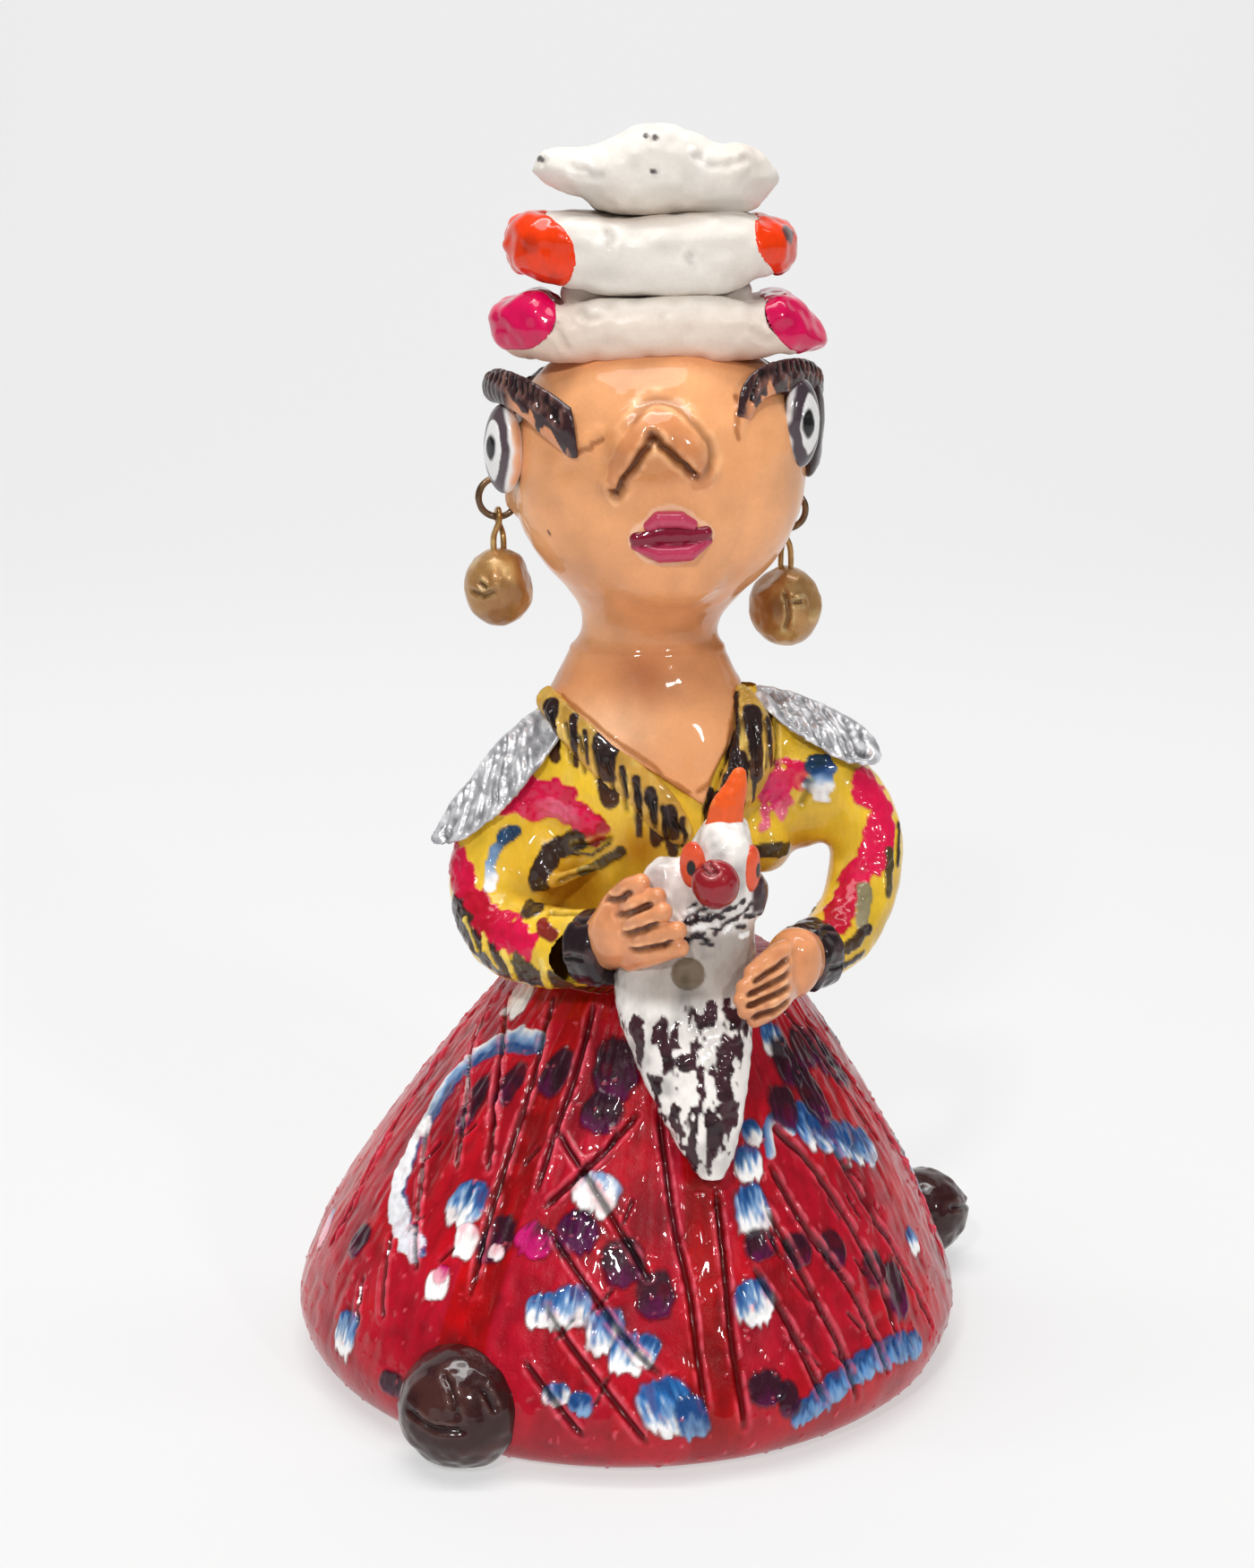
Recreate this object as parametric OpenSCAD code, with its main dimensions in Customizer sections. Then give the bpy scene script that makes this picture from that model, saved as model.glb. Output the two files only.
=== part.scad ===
// Hand-modelled, painted folk-art figure of a woman in a wide bell skirt, holding a
// turkey, with a stack of cloth rolls on her head and two swinging bead earrings.
// Units are millimetres. The figure faces -Y, +Z is up and +X is the viewer's right.
// Left and right are the viewer's. The origin is the centre of the skirt's foot ring.

/* [Skirt] */
// Widest radius of the skirt, just above the hem
skirt_r = 55.5; // [50:0.5:60]
// Height of the skirt up to the waist
skirt_h = 66; // [60:1:68]
// Radius of the skirt's flat top
waist_r = 21; // [19:0.5:24]
// Thickness of the clay wall, measured level
wall = 6.5; // [4:0.5:8]
// Height of the widest point above the table
hem_h = 9; // [6:0.5:12]
// How far the hem tucks in below its widest point
hem_tuck = 6.5; // [4:0.5:8]
// How far the waist stands to the right of the foot ring's centre
waist_lean = 4; // [0:0.5:5]

/* [Body] */
// Height of the seam between blouse and neck
neck_z = 110; // [108:0.5:112]
// Radius of the tenon under the neck
tenon_r = 8; // [6:0.5:9]
// How far the head stands to the right of the skirt's axis
head_x = 5; // [3:0.5:6]

/* [Headdress] */
// Height of the flat crown that carries the rolls
crown_z = 165.3; // [164:0.1:166]
// Thickness of the lower roll
lower_roll_h = 9.1; // [8:0.1:10]
// Thickness of the middle roll
middle_roll_h = 11.6; // [10:0.1:13]
// Thickness of the upper roll
upper_roll_h = 14; // [12:0.1:15]

/* [Earrings] */
// Thickness of the ring's wire
ring_wire = 1.15; // [1:0.05:1.25]
// Radius of the ring, to the middle of its wire
ring_r = 3.1; // [3:0.05:3.4]
// Thickness of the hook's wire
hook_wire = 1; // [0.8:0.05:1.1]
// Half the distance between the hook's two legs
hook_r = 1.3; // [1.25:0.01:1.4]
// Width of the clay bead
bead_w = 11.2; // [9:0.1:12]
// Angle that each ring is turned from facing straight ahead
ring_turn = 12; // [5:1:20]

/* [Hidden] */

gap = 0.1;              // clearance under a piece that lies on a curved surface
skirt_power = 1.3;      // bow of the skirt's side: 1 is a straight cone
side_steps = 12;        // rings along the leaning part of the skirt's side
lean_from = 20;         // the skirt is round about the origin below this height
hem_steps = 6;          // rings round the hem
deck = 8;               // thickness of the clay at the waist
foot_in = 6;            // width of the foot ring that stands on the table
tenon_h = 8;            // depth of the neck tenon in the blouse
tunnel_clear = 0.15;    // clearance of an ear ring in its tunnel

middle_roll_z = crown_z + lower_roll_h;
upper_roll_z = middle_roll_z + middle_roll_h;

skin_colour = "sandybrown";
silver_colour = "silver";
cloth_colour = "ivory";
dark_colour = "#3a2426";

// ---- curves -------------------------------------------------------------------------

// One point of the smooth curve through p, at whole number i plus share t.
function curve_point(p, i, t) =
    let (
        last = len(p) - 1,
        a = p[max(i - 1, 0)], b = p[i], c = p[min(i + 1, last)], d = p[min(i + 2, last)]
    )
    0.5 * (2 * b + (c - a) * t + (2 * a - 5 * b + 4 * c - d) * pow(t, 2)
        + (3 * b - a - 3 * c + d) * pow(t, 3));

// The smooth curve through the points p, with steps points for each stretch.
function smooth(p, steps) = [
    for (i = [0:len(p) - 2]) for (k = [0:steps - 1]) curve_point(p, i, k / steps),
    p[len(p) - 1]
];

function unit(v) = v / norm(v);
function first3(v) = [v[0], v[1], v[2]];

// ---- solids from rings of points ----------------------------------------------------

// A closed skin over rings of equal length, with flat ends.
module skin(rings) {
    n = len(rings[0]);
    last = len(rings) - 1;
    sides = [
        for (i = [0:last - 1]) for (j = [0:n - 1])
            let (a = i * n + j, b = i * n + (j + 1) % n)
            each [[a, a + n, b + n], [a, b + n, b]]
    ];
    bottom = [for (j = [0:n - 1]) j];
    top = [for (j = [n - 1:-1:0]) last * n + j];
    polyhedron(points = [for (r = rings) each r], faces = [bottom, each sides, top], convexity = 6);
}

// A level oval: s is [z, centre x, centre y, half width, half depth].
function level_ring(s, sides) = [
    for (i = [0:sides - 1]) let (t = 360 * i / sides)
        [s[1] + s[3] * cos(t), s[2] + s[4] * sin(t), s[0]]
];

module level_loft(sections, sides, steps = 2) {
    skin([for (s = smooth(sections, steps)) level_ring(s, sides)]);
}

// A limb along a path of [x, y, z, half width, half height]; side sets which way is width.
module limb(path, sides, side, steps = 2) {
    p = smooth(path, steps);
    last = len(p) - 1;
    skin([
        for (i = [0:last])
            let (
                t = unit(first3(p[min(i + 1, last)]) - first3(p[max(i - 1, 0)])),
                u = unit(cross(t, side)),
                s = cross(u, t)
            )
            [for (k = [0:sides - 1]) let (a = 360 * k / sides)
                first3(p[i]) + s * p[i][3] * cos(a) + u * p[i][4] * sin(a)]
    ]);
}

// ---- surfaces that carry applied pieces ---------------------------------------------

// A point on a body given by its sections, at a heading and height, lifted by off.
function on_body(sections, heading, z, off) =
    let (
        x = lookup(z, [for (s = sections) [s[0], s[1]]]),
        y = lookup(z, [for (s = sections) [s[0], s[2]]]),
        a = lookup(z, [for (s = sections) [s[0], s[3]]]),
        b = lookup(z, [for (s = sections) [s[0], s[4]]])
    )
    [x + (a + off) * cos(heading), y + (b + off) * sin(heading), z];

// A leaf of clay pressed onto a body. It runs from one [heading, z] to another,
// across is its half width as [heading, z], and bow lifts its middle upwards.
module leaf(sections, from, to, across, thick, bow = 0, along = 10, over = 6) {
    function spine(s) = from + (to - from) * s + [0, bow * sin(180 * s)];
    function half(s) = 0.12 + 0.88 * pow(sin(180 * s), 0.6);
    function at(i, j, off) =
        let (s = i / along, t = 2 * j / over - 1, p = spine(s) + across * t * half(s))
        on_body(sections, p[0], p[1], off);
    function lift(i, j) =
        let (s = i / along, t = 2 * j / over - 1)
        gap + thick * (0.25 + 0.75 * pow(sin(180 * s), 0.5) * sqrt(1 - t * t));
    w = over + 1;
    n = (along + 1) * w;
    points = [
        for (i = [0:along]) for (j = [0:over]) at(i, j, gap),
        for (i = [0:along]) for (j = [0:over]) at(i, j, lift(i, j))
    ];
    cells = [for (i = [0:along - 1]) for (j = [0:over - 1]) i * w + j];
    rim = [
        for (j = [0:over - 1]) j,
        for (i = [0:along - 1]) i * w + over,
        for (j = [over:-1:1]) along * w + j,
        for (i = [along:-1:1]) i * w
    ];
    m = len(rim);
    polyhedron(points = points, convexity = 4, faces = [
        for (c = cells) each [[c, c + 1, c + w + 1], [c, c + w + 1, c + w]],
        for (c = cells) each [[n + c, n + c + w + 1, n + c + 1], [n + c, n + c + w, n + c + w + 1]],
        for (k = [0:m - 1]) let (a = rim[k], b = rim[(k + 1) % m])
            each [[a, n + a, n + b], [a, n + b, b]]
    ]);
}

module lump(centre, radii) {
    translate(centre) scale(radii) sphere(r = 1, $fn = 48);
}

// ---- skirt and shoes ----------------------------------------------------------------

function side_r(z) = skirt_r - (skirt_r - waist_r) * pow((z - hem_h) / (skirt_h - hem_h), skirt_power);

// Outline of the skirt's side from one height to another, moved in by inset.
function side(from, to, steps, inset = 0) = [
    for (k = [0:steps]) let (z = from + (to - from) * k / steps) [side_r(z) - inset, z]
];

hem_side = [
    for (k = [0:hem_steps - 1]) let (a = 90 * k / hem_steps)
        [skirt_r - hem_tuck * (1 - sin(a)), hem_h * (1 - cos(a))],
    each side(hem_h, lean_from, 4)
];
bore_r = skirt_r - hem_tuck - foot_in;

// The round lower part of the skirt, which stands on its foot ring.
module skirt_foot() {
    inner = side_r(lean_from) - wall;
    rotate_extrude($fn = 96) polygon([
        each hem_side, [inner, lean_from], [bore_r, lean_from - 4], [bore_r, 0]
    ]);
}

// The upper part leans steadily to the right and is closed by a deck at the waist.
module skirt_bell() {
    under_deck = skirt_h - deck;
    k = waist_lean / (skirt_h - lean_from);
    inside = side(lean_from, under_deck, side_steps, wall);
    multmatrix([[1, 0, k, -k * lean_from], [0, 1, 0, 0], [0, 0, 1, 0]])
        rotate_extrude($fn = 96) polygon([
            each side(lean_from, skirt_h, side_steps), [0, skirt_h], [0, under_deck],
            each [for (i = [side_steps:-1:0]) inside[i]]
        ]);
}

module skirt_shell() {
    color("crimson") union() {
        skirt_foot();
        skirt_bell();
    }
}

// A shoe's toe pressed onto the hem, with its sole flat on the table.
module shoe(centre, radii) {
    color(dark_colour) difference() {
        lump(centre, radii);
        rotate_extrude($fn = 96) polygon([[0, 0], each hem_side, [0, lean_from]]);
        translate([centre[0] - 20, centre[1] - 20, -10]) cube([40, 40, 10]);
    }
}

module left_shoe() shoe([-25.4, -47.4, 8.9], [8.7, 8.8, 9.5]);
module right_shoe() shoe([53.6, 24.6, 8.8], [7.8, 7.6, 9.6]);

// ---- blouse -------------------------------------------------------------------------

blouse_sections = [
    [skirt_h, 3, 0, 17.5, 13],
    [72, 3.5, 0, 16.8, 12.6],
    [78, 4, 0, 16.8, 12.8],
    [84, 4, 0, 17.8, 13.4],
    [90, 4.5, 0, 19, 13.8],
    [96, 4.5, 0, 20.4, 13.6],
    [101, 4.8, 0.5, 20.6, 13],
    [105, 5, 1, 18.6, 12.8],
    [108, 5, 1.5, 16, 12.6],
    [neck_z, 5, 2, 14, 12.4]
];

module neck_tenon(extra) {
    translate([head_x, 2, neck_z - tenon_h - extra])
        cylinder(r = tenon_r + extra, h = tenon_h + 2 * extra, $fn = 64);
}

module blouse_body() {
    color("gold") difference() {
        level_loft(blouse_sections, 40);
        neck_tenon(0.05);
    }
}

module left_collar()
    color("darkgoldenrod") leaf(blouse_sections, [208, 106.5], [284, 97], [3, 3.2], 1.4);
module right_collar()
    color("darkgoldenrod") leaf(blouse_sections, [332, 106.5], [294, 96], [3, 3.6], 1.4);

module left_shoulder_ruffle()
    color(silver_colour) limb([
        [-11, -3, 107.5, 5.5, 1.1], [-17, -3.5, 104, 7.2, 1.3], [-22.5, -4, 98.8, 7.4, 1.3],
        [-27.5, -4.5, 93, 6.2, 1.2], [-31.3, -5, 87.4, 2.6, 0.9]
    ], 16, [0, 1, 0]);

module right_shoulder_ruffle()
    color(silver_colour) limb([
        [20.5, -1, 110.6, 4.6, 1.1], [26, -1.5, 109, 6.8, 1.3], [31.5, -2, 106.9, 7.2, 1.3],
        [36.8, -2, 104.3, 6, 1.2], [41, -2, 101.5, 2.6, 0.9]
    ], 16, [0, 1, 0]);

// ---- arms ---------------------------------------------------------------------------

left_wrist = [-7.6, -21.8, 75.4];
right_wrist = [32.6, -16, 74];
left_wrist_way = unit([4.4, -4.2, 0.8]);
right_wrist_way = unit([-3.4, -4.2, 0.2]);
cuff_w = 5;

left_arm_path = [
    [-11.5, 0, 98, 6.4, 6.4], [-16.6, -1, 93.4, 6.8, 6.8], [-20.4, -2.6, 87, 6.9, 6.9],
    [-21.8, -5.4, 79.8, 6.9, 6.9], [-19.4, -10.6, 74.2, 6.9, 6.9], [-13.8, -16.6, 73.6, 6.5, 6.5],
    [each left_wrist, 6, 6]
];
right_arm_path = [
    [23, 0, 98.6, 6.3, 6.3], [30.4, -0.5, 97.6, 6.2, 6.2], [36.2, -1, 93, 6, 6],
    [38.9, -3, 86.4, 5.9, 5.9], [38.6, -6.6, 80, 5.8, 5.8], [36.2, -11.6, 75.6, 5.5, 5.5],
    [each right_wrist, 5.2, 5.2]
];

module sleeve(path) color("gold") limb(path, 20, [0, 0, 1]);
module left_sleeve() sleeve(left_arm_path);
module right_sleeve() sleeve(right_arm_path);

// Turns +Z to a direction at a point.
module aim(at, way) {
    translate(at) rotate([0, acos(way[2]), atan2(way[1], way[0])]) children();
}

module cuff(wrist, way, r) {
    color(dark_colour) aim(wrist + way * gap, way) cylinder(r = r, h = cuff_w, $fn = 48);
}
module left_cuff() cuff(left_wrist, left_wrist_way, 6.4);
module right_cuff() cuff(right_wrist, right_wrist_way, 5.8);

// A flat hand: knobs are the corners of the palm and the fingertips, each [x, y, z, radius].
module hand(knobs) {
    color(skin_colour) hull() for (k = knobs) translate(first3(k)) sphere(r = k[3], $fn = 20);
}
module left_hand() hand([
    [-1.2, -27.6, 81.4, 2.6], [-0.8, -28.4, 75.6, 2.4],
    [2.8, -33, 86.8, 2.2], [6.8, -35.4, 84.2, 2], [8.8, -36.4, 79.6, 2], [4.6, -35.4, 76, 2.2]
]);
module right_hand() hand([
    [27.4, -22.6, 76.4, 2.6], [26.6, -23.6, 70.4, 2.6],
    [21.6, -30.6, 76.2, 2.2], [17.4, -35.4, 72, 2], [18.6, -35.8, 67.6, 2], [22.4, -33.4, 66.4, 2.2]
]);

// ---- head ---------------------------------------------------------------------------

head_sections = [
    [neck_z, 5, 2, 13.2, 11.6],
    [112, 4.6, 2, 12.4, 11.2],
    [115, 4, 2, 11.5, 10.6],
    [119, 3.8, 2, 10.9, 10.3],
    [122, 4, 1.6, 11, 10.8],
    [125, 4.4, 1, 12.2, 12.6],
    [128, 4.8, 0, 14.4, 14.8],
    [131, head_x, -0.6, 17.2, 17],
    [134.5, head_x, -1, 19.8, 18.6],
    [138, head_x, -1, 21.6, 19.4],
    [142, head_x, -1, 22.8, 20],
    [147, head_x, -1, 23.2, 20.2],
    [152, head_x, -1, 23, 19.8],
    [156, head_x, -1, 22.4, 18.8],
    [160, head_x, -1, 20.4, 17],
    [163, head_x, -1, 17.6, 14.8],
    [crown_z, head_x, -1, 14, 12.4]
];

left_ring_at = [-20.4, -1.6, 142.4];
right_ring_at = [26, 10, 138.9];
lobe_radii = [2, 1.9, 2.8];

// A ring of wire upright at a point, turned about Z so that it faces heading.
module ring(at, heading, r, wire) {
    translate(at) rotate([90, 0, heading]) rotate_extrude($fn = 96) translate([r, 0]) circle(d = wire, $fn = 32);
}

module tunnel(at, heading) ring(at, heading, ring_r, ring_wire + 2 * tunnel_clear);

module head_and_neck() {
    color(skin_colour) difference() {
        union() {
            level_loft(head_sections, 44);
            neck_tenon(0);
            lump(left_ring_at + [3.1, 0.5, 0], lobe_radii);
            lump(right_ring_at - [3.1, 0.5, 0], lobe_radii);
        }
        tunnel(left_ring_at, ring_turn);
        tunnel(right_ring_at, -ring_turn);
    }
}

module nose() {
    color(skin_colour) hull() {
        translate([4.8, -18.2, 161.4]) sphere(r = 1.6, $fn = 20);
        translate([4.8, -26, 156.6]) sphere(r = 1.7, $fn = 20);
        translate([-0.9, -20.6, 148.6]) sphere(r = 1.6, $fn = 20);
        translate([11, -20.6, 149.6]) sphere(r = 1.6, $fn = 20);
    }
}

module upper_lip() color("firebrick") lump([6.4, -20.1, 141.3], [4, 2, 1.5]);
module lower_lip() color("firebrick") lump([6.6, -20.1, 138], [5.9, 2.2, 1.7]);

module left_eye() color("white") leaf(head_sections, [196, 144], [194, 157], [15, 0], 2.6, over = 8);
module right_eye() color("white") leaf(head_sections, [342, 148], [344, 160.5], [15, 0], 2.6, over = 8);

// Thick ledges of clay over the eyes; they stick out past the sides of the head.
module eyebrow(path) color(dark_colour) limb(path, 16, [0.3, -0.6, 1]);
module left_eyebrow() eyebrow([
    [-20.4, 3, 159.4, 1.2, 1.6], [-20.6, -2, 160.2, 3.2, 2.2], [-17.4, -8.6, 159.6, 3.6, 2],
    [-12.8, -14, 157, 3.6, 1.8], [-9, -17.4, 153.4, 1.6, 1]
]);
module right_eyebrow() eyebrow([
    [19, -16.6, 156.4, 1.6, 1], [21.6, -13.4, 160.6, 2.8, 1.6], [25.2, -8.4, 162, 2.6, 2],
    [28.4, -2.6, 160.4, 2.2, 1.6], [29.4, 1.6, 158.6, 1, 1.2]
]);

// Hair combed over the back of the head, as a thin curved slab.
module hair_back() {
    thick = 2.4;
    under = 0.25;
    low = 133;
    steps = 20;
    cols = 28;
    rows = smooth(head_sections, 2);
    from = 6;
    to = 172;
    edge = function (z) lookup(z, [[low, 44], [low + 10, 38], [low + 14, 6], [crown_z, 0]]);
    function heading(z, k) = from + edge(z) + (to - from - 2 * edge(z)) * k / cols;
    color(dark_colour) skin([
        for (i = [0:steps]) let (z = low + (crown_z - 0.2 - low) * i / steps) [
            for (k = [0:cols]) on_body(rows, heading(z, k), z, under + thick),
            for (k = [cols:-1:0]) on_body(rows, heading(z, k), z, under)
        ]
    ]);
}

// ---- headdress ----------------------------------------------------------------------

// Half thickness of a roll at share u of its half length.
function roll_shape(u, power) = pow(max(1 - pow(abs(u), power), 0), 0.5);

// A stretch of a cloth roll along X from share u0 to u1 of its half length. It is
// flat where it lies on what is below it and where the next roll lies on it.
module roll(x, z, height, half_len, half_depth, u0, u1, rise = 1.2, power = 3.4) {
    sides = 28;
    steps = 12;
    mid = z + height / 2;
    bulge = 1.12;
    skin([
        for (i = [0:steps])
            let (
                u = u0 + (u1 - u0) * i / steps,
                h = max(height / 2 * bulge * roll_shape(u, power), 0.6),
                d = max(half_depth * roll_shape(u, 2.4), 0.8)
            )
            [for (k = [0:sides - 1]) let (a = 360 * k / sides)
                [
                    x + half_len * u,
                    d * cos(a),
                    min(max(mid + rise * u * u + h * sin(a), z), z + height)
                ]]
    ]);
}

lower_roll_size = [4.9, crown_z, lower_roll_h, 26, 16.5];
middle_roll_size = [3.6, middle_roll_z, middle_roll_h, 22.8, 15.5];
lower_tip_u = 0.6;
middle_tip_left_u = 0.55;
middle_tip_right_u = 0.66;

module roll_stretch(size, u0, u1) roll(size[0], size[1], size[2], size[3], size[4], u0, u1);

module lower_roll() color(cloth_colour) roll_stretch(lower_roll_size, -lower_tip_u, lower_tip_u);
module lower_roll_left_tip() color("deeppink") roll_stretch(lower_roll_size, -0.995, -lower_tip_u);
module lower_roll_right_tip() color("deeppink") roll_stretch(lower_roll_size, lower_tip_u, 0.995);
module middle_roll()
    color(cloth_colour) roll_stretch(middle_roll_size, -middle_tip_left_u, middle_tip_right_u);
module middle_roll_left_tip()
    color("orangered") roll_stretch(middle_roll_size, -0.995, -middle_tip_left_u);
module middle_roll_right_tip()
    color("orangered") roll_stretch(middle_roll_size, middle_tip_right_u, 0.995);
module upper_roll()
    color(cloth_colour) roll(4.4, upper_roll_z, upper_roll_h, 19.2, 14.5, -0.995, 0.995, 0, 2);

// ---- turkey -------------------------------------------------------------------------

turkey_sections = [
    [43.5, 13, -40.2, 1.8, 1.6],
    [47, 12.5, -39, 4, 3.2],
    [51, 11.8, -37.2, 5.8, 4.6],
    [56, 10.8, -34.8, 7.6, 5.8],
    [61, 9.8, -32, 9.2, 6.8],
    [65, 9.2, -29.6, 10.3, 7.6],
    [69, 9, -27.6, 11, 8],
    [73, 9, -26.6, 11, 8.2],
    [77, 10, -26.4, 10, 7.8],
    [81, 11.5, -26.4, 8.4, 7.2],
    [85, 13, -27.4, 7.4, 6.8],
    [89, 13.5, -28.4, 7.6, 7],
    [93, 14, -28.6, 6.8, 6.6],
    [96, 15, -28.6, 4.4, 4.4],
    [97.4, 15.2, -28.6, 2.2, 2.2]
];

module turkey_body() color("whitesmoke") level_loft(turkey_sections, 32);

module turkey_comb()
    color("orangered") limb([
        [15, -28.8, 95.6, 2.7, 2.5], [15.4, -29, 98.4, 2.7, 2.4],
        [16.2, -29.2, 101.6, 2.1, 1.9], [16.8, -29.4, 104.4, 1, 1]
    ], 16, [1, 0, 0]);

module turkey_snood() color("firebrick") lump([13.3, -36, 89.8], [3.7, 3, 3.6]);
module turkey_left_eye()
    color("tomato") leaf(turkey_sections, [222, 88.6], [222, 95], [17, 0], 0.8, along = 8);
module turkey_right_eye()
    color("tomato") leaf(turkey_sections, [320, 88.6], [320, 95], [14, 0], 0.8, along = 8);

// ---- earrings -----------------------------------------------------------------------

bead_h = bead_w * 1.1;
left_hook_len = 6.6;    // from the ring's wire down to the bead's top
right_hook_len = 7.8;
hook_in_bead = 1.6;     // how far the legs are pressed into the bead

// A bent wire over the bottom of the ring, with both legs going down into the bead.
module hook(at, heading, len) {
    translate(at + [0, 0, -ring_r]) rotate([0, 0, heading]) {
        rotate([0, 0, 90]) rotate([90, 0, 0]) rotate_extrude(angle = 180, $fn = 64)
            translate([hook_r, 0]) circle(d = hook_wire, $fn = 32);
        for (s = [-1, 1]) translate([0, s * hook_r, -len - hook_in_bead])
            cylinder(d = hook_wire, h = len + hook_in_bead, $fn = 32);
    }
}

module bead(at, len) {
    lump(at + [0, 0, -ring_r - len - bead_h / 2], [bead_w / 2, bead_w / 2, bead_h / 2]);
}

module left_ear_ring() color("saddlebrown") ring(left_ring_at, ring_turn, ring_r, ring_wire);
module right_ear_ring() color("saddlebrown") ring(right_ring_at, -ring_turn, ring_r, ring_wire);
module left_drop_hook() color("peru") hook(left_ring_at, ring_turn, left_hook_len);
module right_drop_hook() color("peru") hook(right_ring_at, -ring_turn, right_hook_len);
module left_drop_bead() color("darkgoldenrod") bead(left_ring_at, left_hook_len);
module right_drop_bead() color("darkgoldenrod") bead(right_ring_at, right_hook_len);

// ---- nodes --------------------------------------------------------------------------

skirt_shell();
left_shoe();
right_shoe();
blouse_body();
left_collar();
right_collar();
left_shoulder_ruffle();
right_shoulder_ruffle();
left_sleeve();
right_sleeve();
left_cuff();
right_cuff();
left_hand();
right_hand();
head_and_neck();
nose();
upper_lip();
lower_lip();
left_eye();
right_eye();
left_eyebrow();
right_eyebrow();
hair_back();
lower_roll();
lower_roll_left_tip();
lower_roll_right_tip();
middle_roll();
middle_roll_left_tip();
middle_roll_right_tip();
upper_roll();
turkey_body();
turkey_comb();
turkey_snood();
turkey_left_eye();
turkey_right_eye();
left_ear_ring();
left_drop_hook();
left_drop_bead();
right_ear_ring();
right_drop_hook();
right_drop_bead();
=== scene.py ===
"""Looks for the hand-modelled folk figure: a woman in a bell skirt who holds a turkey.

Lengths are in millimetres until a mesh is made, in the CAD part's frame: the figure faces -Y,
+X is the viewer's right, and the origin is the centre of the skirt's foot ring. A heading is an
angle round the figure in degrees, so 180 is the viewer's left, 270 the front and 0 the right.
Most pieces are lumps of clay: a grid of distances is filled and cut with simple shapes, its
surface is taken as a mesh, and brush strokes then colour and lift the mesh's points.
"""
import math
import bpy
import numpy as np
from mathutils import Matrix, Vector


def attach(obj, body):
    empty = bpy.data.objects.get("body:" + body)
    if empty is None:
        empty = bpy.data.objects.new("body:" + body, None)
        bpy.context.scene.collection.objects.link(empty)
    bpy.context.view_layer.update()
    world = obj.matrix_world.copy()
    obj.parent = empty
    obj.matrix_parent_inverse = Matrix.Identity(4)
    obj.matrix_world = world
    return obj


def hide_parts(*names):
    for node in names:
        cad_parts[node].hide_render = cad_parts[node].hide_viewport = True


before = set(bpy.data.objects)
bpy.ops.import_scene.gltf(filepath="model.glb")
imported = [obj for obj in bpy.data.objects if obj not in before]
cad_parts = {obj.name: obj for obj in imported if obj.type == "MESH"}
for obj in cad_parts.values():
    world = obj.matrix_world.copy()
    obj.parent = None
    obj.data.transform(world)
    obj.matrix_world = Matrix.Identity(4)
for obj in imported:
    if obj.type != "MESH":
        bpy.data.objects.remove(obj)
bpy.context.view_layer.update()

MM = 0.001
FRONT, BACK = (0, -1, 0), (0, 1, 0)


# ---- numbers, noise and colour

def vec(*values):
    return np.array(values, float)


def unit(v):
    return v / np.maximum(np.linalg.norm(v, axis=-1, keepdims=True), 1e-9)


def ease(low, high, x):
    """0 below low, 1 above high, and smooth between them."""
    t = np.clip((x - low) / (high - low), 0, 1)
    return t * t * (3 - 2 * t)


HASH_WAY, HASH_GAIN, SEED_STEP = (127.1, 311.7, 74.7), 43758.5453, 31.7


def noise(p, size, seed=0):
    """Smooth noise from -1 to 1 over points, in lumps of about that size."""
    q = np.asarray(p, float) / size + SEED_STEP * seed
    cell = np.floor(q)
    f = q - cell
    f = f * f * (3 - 2 * f)
    total = np.zeros(q.shape[:-1])
    for corner in np.ndindex(*(2,) * q.shape[-1]):
        c = np.array(corner)
        h = np.sin(((cell + c) * vec(*HASH_WAY)[:len(c)]).sum(-1)) * HASH_GAIN
        total += np.prod(np.where(c, f, 1 - f), -1) * (2 * (h - np.floor(h)) - 1)
    return total


def linear(colour):
    """Linear light from a colour as 0 to 255 on a screen, by the sRGB curve."""
    c = np.asarray(colour, float) / 255
    return np.where(c <= 0.04045, c / 12.92, ((c + 0.055) / 1.055) ** 2.4)


def ramp(colours, share):
    """Linear colours, mixed in their order as the share runs from 0 to 1."""
    shades, last = np.array([linear(c) for c in colours]), len(colours) - 1
    run = share * last
    k = np.clip(run.astype(int), 0, max(last - 1, 0))
    t = (run - k)[:, None]
    return shades[k] * (1 - t) + shades[np.minimum(k + 1, last)] * t


CRIMSON, DEEP_RED, HOT_RED = (172, 8, 34), (132, 0, 8), (192, 0, 6)
PINK_RED, ROSE = (208, 36, 64), (214, 16, 70)
BLUE, PALE_BLUE, WHITE = (24, 66, 122), (124, 158, 196), (242, 240, 238)
PURPLE, BLACK_PURPLE, MAGENTA = (76, 4, 60), (34, 10, 28), (190, 16, 104)
PINK = (238, 176, 186)
SKIN, SKIN_SHADE, SKIN_LIGHT = (240, 170, 116), (200, 122, 72), (248, 192, 142)
YELLOW, OCHRE, DARK = (238, 194, 52), (204, 150, 60), (48, 30, 28)


# ---- clay: distances on a grid

def smooth_min(a, b, k):
    """The smaller of two distances, rounded where they are about the same."""
    h = np.clip(0.5 + 0.5 * (b - a) / k, 0, 1)
    return b + (a - b) * h - k * h * (1 - h)


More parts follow.
